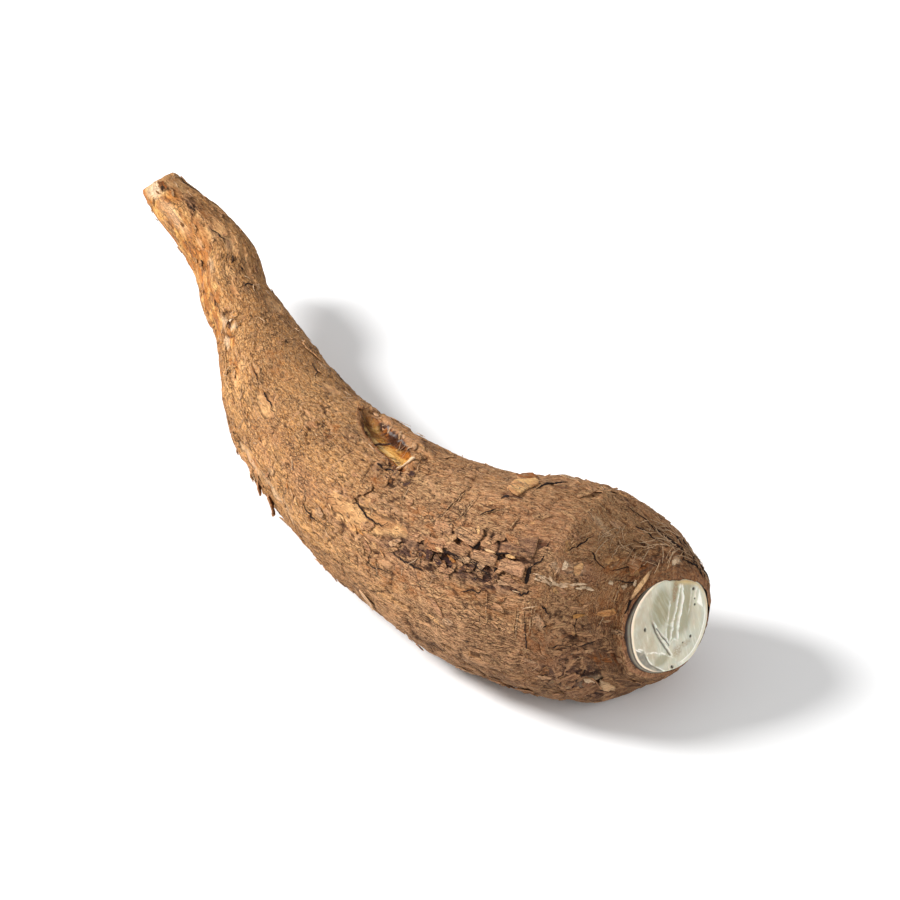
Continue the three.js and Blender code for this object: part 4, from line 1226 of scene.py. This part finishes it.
def porePaths():
    paths = []
    for firstAt, firstAngle, lastAt, lastAngle in poreLines:
        length = math.radians(abs(lastAngle - firstAngle)) * radiusAt(firstAt)
        t = np.linspace(0, 1, max(8, int(length / poreRidge["pointStep"])))
        turn = np.radians(firstAngle + (lastAngle - firstAngle) * t)
        room = np.maximum(fromTable(roomTable, firstAt + 0 * t, turn), 0.4)
        for sign in (-1, 1):
            if sign > 0 and uniform() < poreRidge["single"]:
                continue
            wave = vec(t * 9, 0 * t, 0 * t + firstAt + sign)
            wobble = 0.35 * layeredNoise(wave, 401, 3)
            broken = smoothStep(-0.35, 0.05, layeredNoise(wave * 1.7, 411, 2))
            ends = np.sin(np.pi * np.clip(t, 0.06, 0.94))**0.5
            paths.append({
                "along": firstAt + (lastAt - firstAt) * t + (wobble + sign * poreRidge["apart"]) / room,
                "turn": turn, "lift": -0.35 + 0.45 * broken, "tall": poreRidge["tall"],
                "half": poreRidge["half"] * (0.5 + 0.5 * broken) * ends,
                "values": {"tone": 1, "pale": uniform(0.1, 0.45), "golden": 0.6, "peel": 0.5},
            })
    return paths


# Fibres: distance along, angle, length, heading
markedFibres = [
    (368, 72, 11, 60), (366, 78, 10, -50), (371, 24, 9, 75), (364, 98, 9, 70), (366, 104, 8, 100),
    (2.5, 66, 7, 80), (1.6, 74, 6, 60), (3.5, 60, 5, 110), (369, 60, 9, 110), (370, 40, 8, 80),
    (180, 193, 7, 20), (104, 122, 5, 60), (326, 60, 9, 30), (270, 96, 6, 50), (155, 170, 6, 40),
]
fibre = {"scattered": 90, "tangle": 110, "points": 9, "tall": 0.9}


def fibrePaths():
    paths = []
    rows = list(markedFibres)
    for _ in range(fibre["scattered"]):
        rows.append((uniform(6, 368), uniform(20, 240), uniform(2.5, 7), normal(0, 35)))
    for _ in range(fibre["tangle"]):  # above the thick cut
        rows.append((uniform(355, 371), uniform(8, 104), uniform(3, 9), normal(60, 45)))
    for at, angle, length, heading in rows:
        t = np.linspace(-0.5, 0.5, fibre["points"])
        bend = uniform(-0.25, 0.25)
        u, v = length * t, length * bend * (t * t - 0.08)
        c, s = math.cos(math.radians(heading)), math.sin(math.radians(heading))
        along = np.clip(at + (u * c - v * s) / max(0.4, roomAt(at, angle)), 0.4, rootLength - 0.5)
        lift = uniform(0.25, 0.5) + 0.6 * uniform(0, 1) * np.clip(t, 0, 1) * 2 - 0.5 * (t < -0.4)
        paths.append({
            "along": along, "turn": math.radians(angle) + (u * s + v * c) / radiusAt(at), "lift": lift,
            "half": (0.11 + 0.05 * uniform()) * np.cos(t * 2.4)**0.5, "tall": fibre["tall"],
            "values": {"tone": uniform(0.5, 1), "pale": uniform(0.2, 0.7), "golden": 0.3},
        })
    return paths


def splitPaths():
    paths = []
    for half, *corners in splits:
        at = np.array([corner[0] for corner in corners], float)
        angle = np.degrees(np.unwrap(np.radians([corner[1] for corner in corners])))
        radius = bodyFrame(at)[1]
        steps = np.hypot(np.diff(at), np.radians(np.diff(angle)) * radius[1:])
        run = np.concatenate([[0], np.cumsum(steps)])
        count = max(6, int(run[-1] / 0.5))
        t = np.linspace(0, run[-1], count)
        along, turn = np.interp(t, run, at), np.radians(np.interp(t, run, angle))
        wave = vec(t / 1.8, 0 * t + at[0], 0 * t + angle[0])
        if at[0] < at[-1]:
            turn = turn + 0.9 * layeredNoise(wave, 421, 3) / np.interp(along, at, radius)
        ends = np.sin(np.pi * np.clip(t / run[-1], 0.04, 0.96))**0.5
        paths.append({
            "along": np.clip(along + 0.5 * layeredNoise(wave, 431, 3), 0.4, rootLength - 0.3), "turn": turn,
            "half": half * ends * (0.85 + 0.5 * layeredNoise(wave * 2, 441, 2)),
            # the gap colour: painted shade in the split
            "lift": 0.12 + 0 * t, "tall": 0.7, "values": {"gap": 1},
        })
    return paths


strips = makeStrips("pore_ridges", porePaths())
cracks = makeStrips("splits", splitPaths())
fibres = makeStrips("fibres", fibrePaths())


# Materials

def addNode(tree, kind, inputs=None, **settings):
    node = tree.nodes.new("ShaderNode" + kind)
    for key, value in settings.items():
        setattr(node, key, value)
    for key, value in (inputs or {}).items():
        if isinstance(value, bpy.types.NodeSocket):
            tree.links.new(value, node.inputs[key])
        else:
            node.inputs[key].default_value = value
    return node


class Finish:  # short words for the nodes of one material
    def __init__(self, name, colours):
        self.colours = colours
        self.colour = None
        self.material = bpy.data.materials.new(name)
        self.material.use_nodes = True
        self.tree = self.material.node_tree
        self.tree.nodes.clear()
        self.place = self.map("straight", "Vector")

    def map(self, name, output="Fac"):
        return addNode(self.tree, "Attribute", attribute_name=name).outputs[output]

    def maths(self, operation, a, b=0.0, *more):
        return addNode(self.tree, "Math", dict(enumerate((a, b, *more))), operation=operation).outputs[0]

    def times(self, a, b):
        return self.maths("MULTIPLY", a, b)

    def plus(self, a, b):
        return self.maths("ADD", a, b)

    def most(self, a, b):
        return self.maths("MAXIMUM", a, b)

    def scaled(self, a, factor, shift):
        return self.maths("MULTIPLY_ADD", a, factor, shift)

    def crease(self, noise, middle):  # how far a noise is from one of its values
        return self.maths("ABSOLUTE", self.maths("SUBTRACT", noise, middle))

    def between(self, value, low, high, toLow=0.0, toHigh=1.0):
        inputs = {"Value": value, "From Min": low, "From Max": high, "To Min": toLow, "To Max": toHigh}
        return addNode(self.tree, "MapRange", inputs, interpolation_type="SMOOTHSTEP").outputs[0]

    def stretched(self, scale):
        return addNode(self.tree, "VectorMath", {0: self.place, 1: scale}, operation="MULTIPLY").outputs[0]

    def noise(self, scale, detail=4.0, roughness=0.6, distortion=0.0):
        inputs = {"Vector": self.stretched(scale), "Scale": 1.0, "Detail": detail, "Roughness": roughness,
                  "Distortion": distortion}
        return addNode(self.tree, "TexNoise", inputs).outputs["Fac"]

    def cellEdge(self, scale):
        inputs = {"Vector": self.stretched(scale), "Scale": 1.0}
        return addNode(self.tree, "TexVoronoi", inputs, feature="DISTANCE_TO_EDGE").outputs["Distance"]

    def mix(self, factor, a, b):  # each colour by its name, or from a node
        node = addNode(self.tree, "Mix", {0: factor}, data_type="RGBA")
        for socket, value in ((node.inputs[6], a), (node.inputs[7], b)):
            if isinstance(value, bpy.types.NodeSocket):
                self.tree.links.new(value, socket)
            else:
                socket.default_value = (*self.colours[value], 1)
        return node.outputs[2]

    def coat(self, over, amount):  # lay a colour over what is there
        self.colour = self.mix(amount, self.colour, over)

    def finish(self, roughness, bumps, **constants):
        normal = None
        for height, strength, distance in bumps:
            inputs = {"Height": height, "Strength": strength, "Distance": distance}
            if normal:
                inputs["Normal"] = normal
            normal = addNode(self.tree, "Bump", inputs).outputs["Normal"]
        inputs = {"Base Color": self.colour, "Roughness": roughness, **constants}
        if normal:
            inputs["Normal"] = normal
        shader = addNode(self.tree, "BsdfPrincipled", inputs)
        addNode(self.tree, "OutputMaterial", {"Surface": shader.outputs[0]})
        return self.material


# The umber, gap and crack colours also paint shade, and the sheen colour paints a highlight
barkColours = {
    "brown": (0.215, 0.090, 0.036), "tan": (0.62, 0.33, 0.165), "dark": (0.055, 0.02, 0.009),
    "thread": (0.73, 0.44, 0.205), "warmBrown": (0.22, 0.083, 0.024), "warmTan": (0.62, 0.28, 0.08),
    "sandAndPaintedLight": (0.90, 0.46, 0.16), "umberShade": (0.062, 0.025, 0.012), "crack": (0.014, 0.005, 0.0025),
    "olive": (0.12, 0.065, 0.022), "inner": (0.57, 0.275, 0.11), "innerPale": (0.86, 0.485, 0.205),
    "golden": (0.58, 0.205, 0.032), "goldenPale": (0.92, 0.50, 0.155), "cream": (0.93, 0.68, 0.44),
    "rosy": (0.56, 0.265, 0.145), "stain": (0.035, 0.014, 0.018), "rust": (0.36, 0.115, 0.024),
    "dust": (0.44, 0.262, 0.125), "wound": (0.055, 0.018, 0.008), "amber": (0.55, 0.17, 0.02),
    "amberPale": (0.90, 0.47, 0.11), "gap": (0.02, 0.009, 0.006), "paintedSheen": (0.21, 0.19, 0.18),
    "pith": (0.92, 0.60, 0.22),
}


def makeBarkMaterial():
    m = Finish("bark", barkColours)
    grain = m.noise((270, 1650, 1650), 5.0, 0.72, 0.4)
    streaks = m.noise((100, 700, 700), 4.0, 0.65, 0.4)
    patches = m.noise((26, 55, 55), 4.0, 0.6, 0.6)
    fleck = m.noise((560, 1900, 1900), 3.0, 0.68)
    blend = m.scaled(grain, 2.2, m.times(patches, 0.4))
    blend = m.plus(blend, m.scaled(m.map("tone"), 0.3, -0.96))
    warm = m.map("warm")
    low, high = m.mix(warm, "brown", "warmBrown"), m.mix(warm, "tan", "warmTan")
    m.colour = m.mix(m.between(blend, 0.22, 0.78), low, high)
    m.coat("dark", m.between(streaks, 0.56, 0.72, 0.0, 0.4))
    # painted light: paler sandy streaks over the lit left flank
    sandAndLightMask = m.times(m.map("sandAndPaintedLight"), m.between(m.noise((55, 420, 420), 5.0, 0.62, 0.5), 0.42, 0.60))
    m.coat("sandAndPaintedLight", m.times(sandAndLightMask, 0.8))
    up = addNode(m.tree, "SeparateXYZ", {0: addNode(m.tree, "NewGeometry").outputs["Normal"]}).outputs["Z"]
    dustBed = m.times(m.between(up, 0.15, 0.8), m.between(m.noise((300, 700, 700), 4.0, 0.7), 0.34, 0.6))
    dustBed = m.times(dustBed, m.scaled(m.map("dusty"), 0.75, 0.22))
    m.coat("dust", m.times(dustBed, 0.8))
    threads = m.crease(m.noise((105, 980, 980), 3.0, 0.6, 0.9), 0.5)
    m.coat("thread", m.between(threads, 0.0, 0.024, 0.75, 0.0))
    # painted shade in dark crease lines, which are also valleys of the bump
    creaseShade = m.crease(m.noise((120, 1050, 1050), 3.0, 0.6, 0.9), 0.46)
    creaseShade = m.between(creaseShade, 0.0, 0.02, 0.75, 0.0)
    m.coat("dark", creaseShade)
    m.coat("dark", m.between(fleck, 0.53, 0.63, 0.0, 0.72))
    m.coat("thread", m.between(fleck, 0.46, 0.36, 0.0, 0.68))
    # thin layers in steps: a painted shadow at the foot of each step and a painted highlight on its lip
    layers = m.times(m.noise((26, 95, 95), 7.0, 0.62, 0.5), 15.0)
    share = m.maths("FRACT", layers)
    layered = m.between(m.noise((40, 70, 70), 3.0), 0.42, 0.56, 0.15, 1.0)
    footShadow = m.times(m.between(share, 0.84, 0.97), layered)
    lipHighlight = m.times(m.times(m.between(share, 0.0, 0.03), m.between(share, 0.16, 0.05)), layered)
    m.coat("dark", m.times(footShadow, 0.6))
    m.coat("thread", m.times(lipHighlight, 0.5))
    rosy = m.times(m.map("rosy"), m.between(patches, 0.35, 0.6))
    m.coat("rosy", m.times(rosy, 0.7))
    rust = m.times(m.map("rust"), m.between(m.noise((150, 300, 300), 3.0), 0.42, 0.6))
    m.coat("rust", rust)

    # inner bark that shows where the outer bark has come away
    blotch = m.noise((105, 240, 240), 5.0, 0.65, 0.4)
    tanInner = m.mix(m.between(blotch, 0.36, 0.6), "inner", "innerPale")
    goldInner = m.mix(m.between(blotch, 0.42, 0.62), "golden", "goldenPale")
    inner = m.mix(m.map("golden"), tanInner, goldInner)
    remains = m.noise((170, 420, 420), 5.0, 0.7, 0.4)
    rough = m.scaled(m.map("golden"), 0.75, 0.25)
    rough = m.times(rough, m.between(m.map("pale"), 0.05, 0.25, 1.0, 0.2))
    inner = m.mix(m.times(m.between(remains, 0.42, 0.52, 0.0, 0.6), rough), inner, "rust")
    inner = m.mix(m.times(m.between(remains, 0.53, 0.62, 0.0, 0.85), rough), inner, "brown")
    peel = m.between(m.plus(m.map("peel"), m.scaled(grain, 0.9, -0.45)), 0.42, 0.58)
    m.coat(inner, peel)

    stain = m.times(m.map("stain"), m.between(m.noise((110, 260, 260), 4.0, 0.65), 0.38, 0.54))
    m.coat("stain", stain)
    # painted shade in umber, most of it underneath, and dark bark by the thick cut
    shadeAndDarkBark = m.times(m.map("shadeAndDarkBark"), m.between(m.noise((45, 120, 120), 4.0, 0.65), 0.34, 0.62, 0.3, 1.0))
    m.coat("umberShade", m.times(shadeAndDarkBark, 0.6))
    # painted shade, near black, in fine gaps and slits and over the crack map
    gaps = m.between(m.cellEdge((230, 620, 620)), 0.0, 0.07, 1.0, 0.0)
    gaps = m.times(gaps, m.between(m.noise((60, 150, 150), 3.0), 0.50, 0.60))
    slits = m.between(m.noise((240, 1250, 1250), 3.0, 0.6, 0.6), 0.63, 0.69)
    dark = m.most(m.times(m.most(gaps, slits), 0.8), m.between(m.map("crack"), 0.2, 0.85, 0.0, 0.9))
    m.coat("crack", dark)
    # painted shade in the relief's hollows and on the flakes' undersides, a painted highlight in tan on
    # crests
    hollowShadeAndCrestLight = m.map("hollowShadeAndCrestLight")
    m.coat("dark", m.between(hollowShadeAndCrestLight, -0.15, -0.9, 0.0, 0.75))
    crestHighlight = m.between(hollowShadeAndCrestLight, 0.1, 0.8, 0.0, 0.55)
    bare = m.maths("SUBTRACT", 1.0, peel)
    m.coat("tan", m.times(crestHighlight, bare))
    pale = m.times(m.map("pale"), m.between(grain, 0.3, 0.55, 0.35, 1.0))
    m.coat("cream", pale)
    grit = m.between(m.noise((2400, 2400, 2400), 2.0, 0.5), 0.69, 0.75, 0.0, 0.75)
    m.coat("cream", grit)

    # the gouge: nearly black on its upper wall, amber and pale on its floor
    reach = m.scaled(m.between(m.map("woundSide"), 0.0, -0.6), 0.12, m.map("wound"))
    reach = m.plus(reach, m.scaled(grain, 0.3, -0.15))
    inWound = m.between(reach, 0.24, 0.36)
    side, run = m.map("woundSide"), m.map("woundAlong")
    wavySide = m.plus(side, m.scaled(m.noise((60, 200, 200), 3.0), 0.3, -0.15))
    floorOf = m.between(wavySide, -0.80, -0.56)
    wallStreaks = m.noise((70, 900, 900), 4.0, 0.65, 0.3)
    wall = m.mix(m.between(wallStreaks, 0.5, 0.64, 0.0, 0.75), "wound", "rust")
    # a painted highlight: a thin grey sheen line along the gouge's upper edge
    paintedSheen = m.times(m.between(wavySide, -1.0, -0.96), m.between(wavySide, -0.90, -0.94))
    wall = m.mix(m.times(paintedSheen, m.between(wallStreaks, 0.4, 0.5, 0.0, 0.8)), wall, "paintedSheen")
    resin = m.mix(m.between(m.noise((80, 330, 330), 4.0, 0.6, 0.4), 0.46, 0.62), "amber", "amberPale")
    blackish = m.between(m.noise((100, 360, 360), 4.0, 0.65), 0.54, 0.64, 0.0, 0.85)
    resin = m.mix(m.between(run, -0.1, -0.35, 0.0, 0.7), resin, "olive")
    facet = m.times(m.between(side, -0.45, -0.25), m.between(side, 0.35, 0.15))
    facet = m.times(facet, m.times(m.between(run, -0.02, 0.06), m.between(run, 0.95, 0.7)))
    resin = m.mix(m.times(facet, 0.75), resin, "amberPale")
    pith = m.times(m.between(wavySide, 0.0, 0.14), m.between(wavySide, 0.5, 0.36))
    pith = m.times(pith, m.between(m.noise((90, 500, 500), 3.0), 0.36, 0.52))
    resin = m.mix(m.times(pith, m.between(run, -0.9, -0.6, 0.0, 0.75)), resin, "pith")
    notch = m.times(m.between(run, -0.16, -0.1), m.between(run, 0.0, -0.06))
    blackish = m.most(m.most(blackish, notch), m.between(side, 0.5, 0.8, 0.0, 0.8))
    woundColour = m.mix(floorOf, wall, m.mix(blackish, resin, "wound"))
    frayed = m.times(m.between(reach, -0.02, 0.14), m.between(side, -0.4, 0.2, 0.4, 1.0))
    mottles = m.noise((420, 900, 900), 4.0, 0.7)
    m.coat("rust", m.times(frayed, m.between(mottles, 0.44, 0.54, 0.0, 0.75)))
    m.coat("wound", m.times(frayed, m.between(mottles, 0.42, 0.36, 0.0, 0.85)))
    m.coat(woundColour, inWound)
    # painted shade: near black in the gap under the torn edge, in holes, between plates and in splits
    m.coat("gap", m.map("gap"))
    cutWood = m.mix(m.between(m.noise((0, 420, 420), 4.0, 0.6), 0.38, 0.6), "inner", "innerPale")
    cutWood = m.mix(m.between(hollowShadeAndCrestLight, -0.1, -0.5, 0.0, 0.8), cutWood, "brown")
    m.coat(cutWood, m.map("cut"))

    gloss = m.most(m.times(inWound, 0.62), m.times(peel, 0.2))
    roughness = m.maths("SUBTRACT", m.between(grain, 0.3, 0.7, 0.72, 0.9), gloss)
    deepShade = m.most(m.most(gaps, slits), creaseShade)
    height = m.scaled(grain, 0.7, m.times(deepShade, -0.4))
    stairs = m.plus(m.maths("FLOOR", layers), m.between(share, 0.0, 0.1))
    height = m.scaled(stairs, 0.22, height)
    return m.finish(roughness, [(height, 1.0, 0.0013), (fleck, 0.9, 0.0005)], **{"Specular IOR Level": 0.2})


fleshColours = {
    "flesh": (0.60, 0.56, 0.42), "cool": (0.54, 0.55, 0.455), "white": (0.95, 0.92, 0.82),
    "olive": (0.26, 0.225, 0.115), "grey": (0.20, 0.185, 0.155), "brown": (0.30, 0.19, 0.10),
    "line": (0.045, 0.035, 0.022), "cream": (0.97, 0.80, 0.60), "gold": (0.66, 0.45, 0.19),
    "cortex": (0.25, 0.235, 0.18), "deepShade": (0.045, 0.025, 0.018), "beige": (0.46, 0.36, 0.235),
}


def makeFleshMaterial():
    m = Finish("flesh", fleshColours)
    strokes = m.noise((900, 130, 400), 5.0, 0.6, 0.3)
    blotch = m.noise((160, 110, 160), 4.0, 0.6)
    fine = m.noise((1500, 1500, 1500), 4.0, 0.6)
    m.colour = m.mix(m.between(blotch, 0.35, 0.65), "flesh", "cool")
    m.coat("white", m.between(strokes, 0.5, 0.72, 0.0, 0.5))
    m.coat("beige", m.between(m.noise((300, 260, 300), 4.0, 0.65), 0.55, 0.75, 0.0, 0.35))
    m.coat("beige", m.times(m.map("beige"), 0.6))
    m.coat("olive", m.times(m.map("olive"), 0.8))
    m.coat("grey", m.times(m.map("grey"), 0.85))
    m.coat("brown", m.times(m.map("brown"), m.between(fine, 0.3, 0.6)))
    m.coat("white", m.map("white"))
    m.coat("line", m.map("line"))
    m.coat("gold", m.map("goldRim"))
    m.coat("cream", m.map("rim"))
    cortex = m.mix(m.between(fine, 0.42, 0.66, 0.0, 0.5), "cortex", "brown")
    # painted shade: a dark line just below the rim, and near black further down the wall, in the gap under
    # the bark
    depth = m.map("depth")
    m.coat(cortex, m.between(depth, 0.1, 0.2))
    under = m.times(m.between(depth, 0.08, 0.18), m.between(depth, 0.4, 0.22))
    m.coat("deepShade", m.times(under, 0.75))
    m.coat("deepShade", m.between(m.map("depth"), 0.38, 0.75))
    height = m.scaled(strokes, 0.8, m.times(fine, 0.3))
    return m.finish(m.between(blotch, 0.3, 0.7, 0.42, 0.6), [(height, 0.5, 0.0003)],
                    **{"Specular IOR Level": 0.4, "Subsurface Weight": 0.12, "Subsurface Scale": 0.004})


barkMaterial = makeBarkMaterial()
for piece in (bark, flakes, moreFlakes, strips, cracks, fibres):
    piece.data.materials.append(barkMaterial)
face.data.materials.append(makeFleshMaterial())
print("materials made")


# Floor, light and camera

studio = {
    "world": 0.48, "keyPower": 39, "keySize": 0.5, "fillPower": 8.5, "fillSize": 1.2,
    "away": 1.6, "aim": (0.02, -0.01, 0.03), "floor": 0.92, "floorHalf": 6,
}
camera = {"place": (0.6512, -0.4466, 0.5761), "look": (-0.6499, 0.4987, -0.5736), "lens": 95, "sensor": 36}
screenRight = Vector((0.6088, 0.7934, 0))
screenAhead = Vector((-0.7934, 0.6088, 0))
lightWays = {"key": (-0.76, 0.06, 0.64), "fill": (0.5, -0.62, 0.5)}  # shares of right, ahead and up


def addToScene(name, data):
    thing = bpy.data.objects.new(name, data)
    bpy.context.scene.collection.objects.link(thing)
    return thing


def aimAt(thing, place, target):
    thing.location = place
    thing.rotation_euler = (Vector(target) - Vector(place)).to_track_quat("-Z", "Y").to_euler()


def makeStudio():
    half = studio["floorHalf"]
    mesh = bpy.data.meshes.new("floor")
    corners = [(-half, -half, 0), (half, -half, 0), (half, half, 0), (-half, half, 0)]
    mesh.from_pydata(corners, [], [(0, 1, 2, 3)])
    floor = addToScene("floor", mesh)
    paint = bpy.data.materials.new("floor")
    paint.use_nodes = True
    shader = paint.node_tree.nodes["Principled BSDF"]
    shader.inputs["Base Color"].default_value = (studio["floor"],) * 3 + (1,)
    shader.inputs["Roughness"].default_value = 0.95
    shader.inputs["Specular IOR Level"].default_value = 0.1
    mesh.materials.append(paint)

    world = bpy.data.worlds.new("studio")
    world.use_nodes = True
    world.node_tree.nodes["Background"].inputs["Color"].default_value = (1, 1, 1, 1)
    world.node_tree.nodes["Background"].inputs["Strength"].default_value = studio["world"]
    bpy.context.scene.world = world

    middle = Vector(studio["aim"])
    for name, (rightShare, aheadShare, upShare) in lightWays.items():
        light = bpy.data.lights.new(name, "AREA")
        light.energy = studio[name + "Power"]
        light.shape = "DISK"
        light.size = studio[name + "Size"]
        way = (rightShare * screenRight + aheadShare * screenAhead + Vector((0, 0, upShare))).normalized()
        aimAt(addToScene(name, light), middle + way * studio["away"], middle)


def makeCamera():
    eye = bpy.data.cameras.new("camera")
    eye.lens = camera["lens"]
    eye.sensor_width = camera["sensor"]
    eye.clip_start = 0.02
    holder = addToScene("camera", eye)
    place = Vector(camera["place"])
    aimAt(holder, place, place + Vector(camera["look"]))
    bpy.context.scene.camera = holder


makeStudio()
makeCamera()
bpy.context.scene.view_settings.view_transform = "Standard"
print("studio ready")
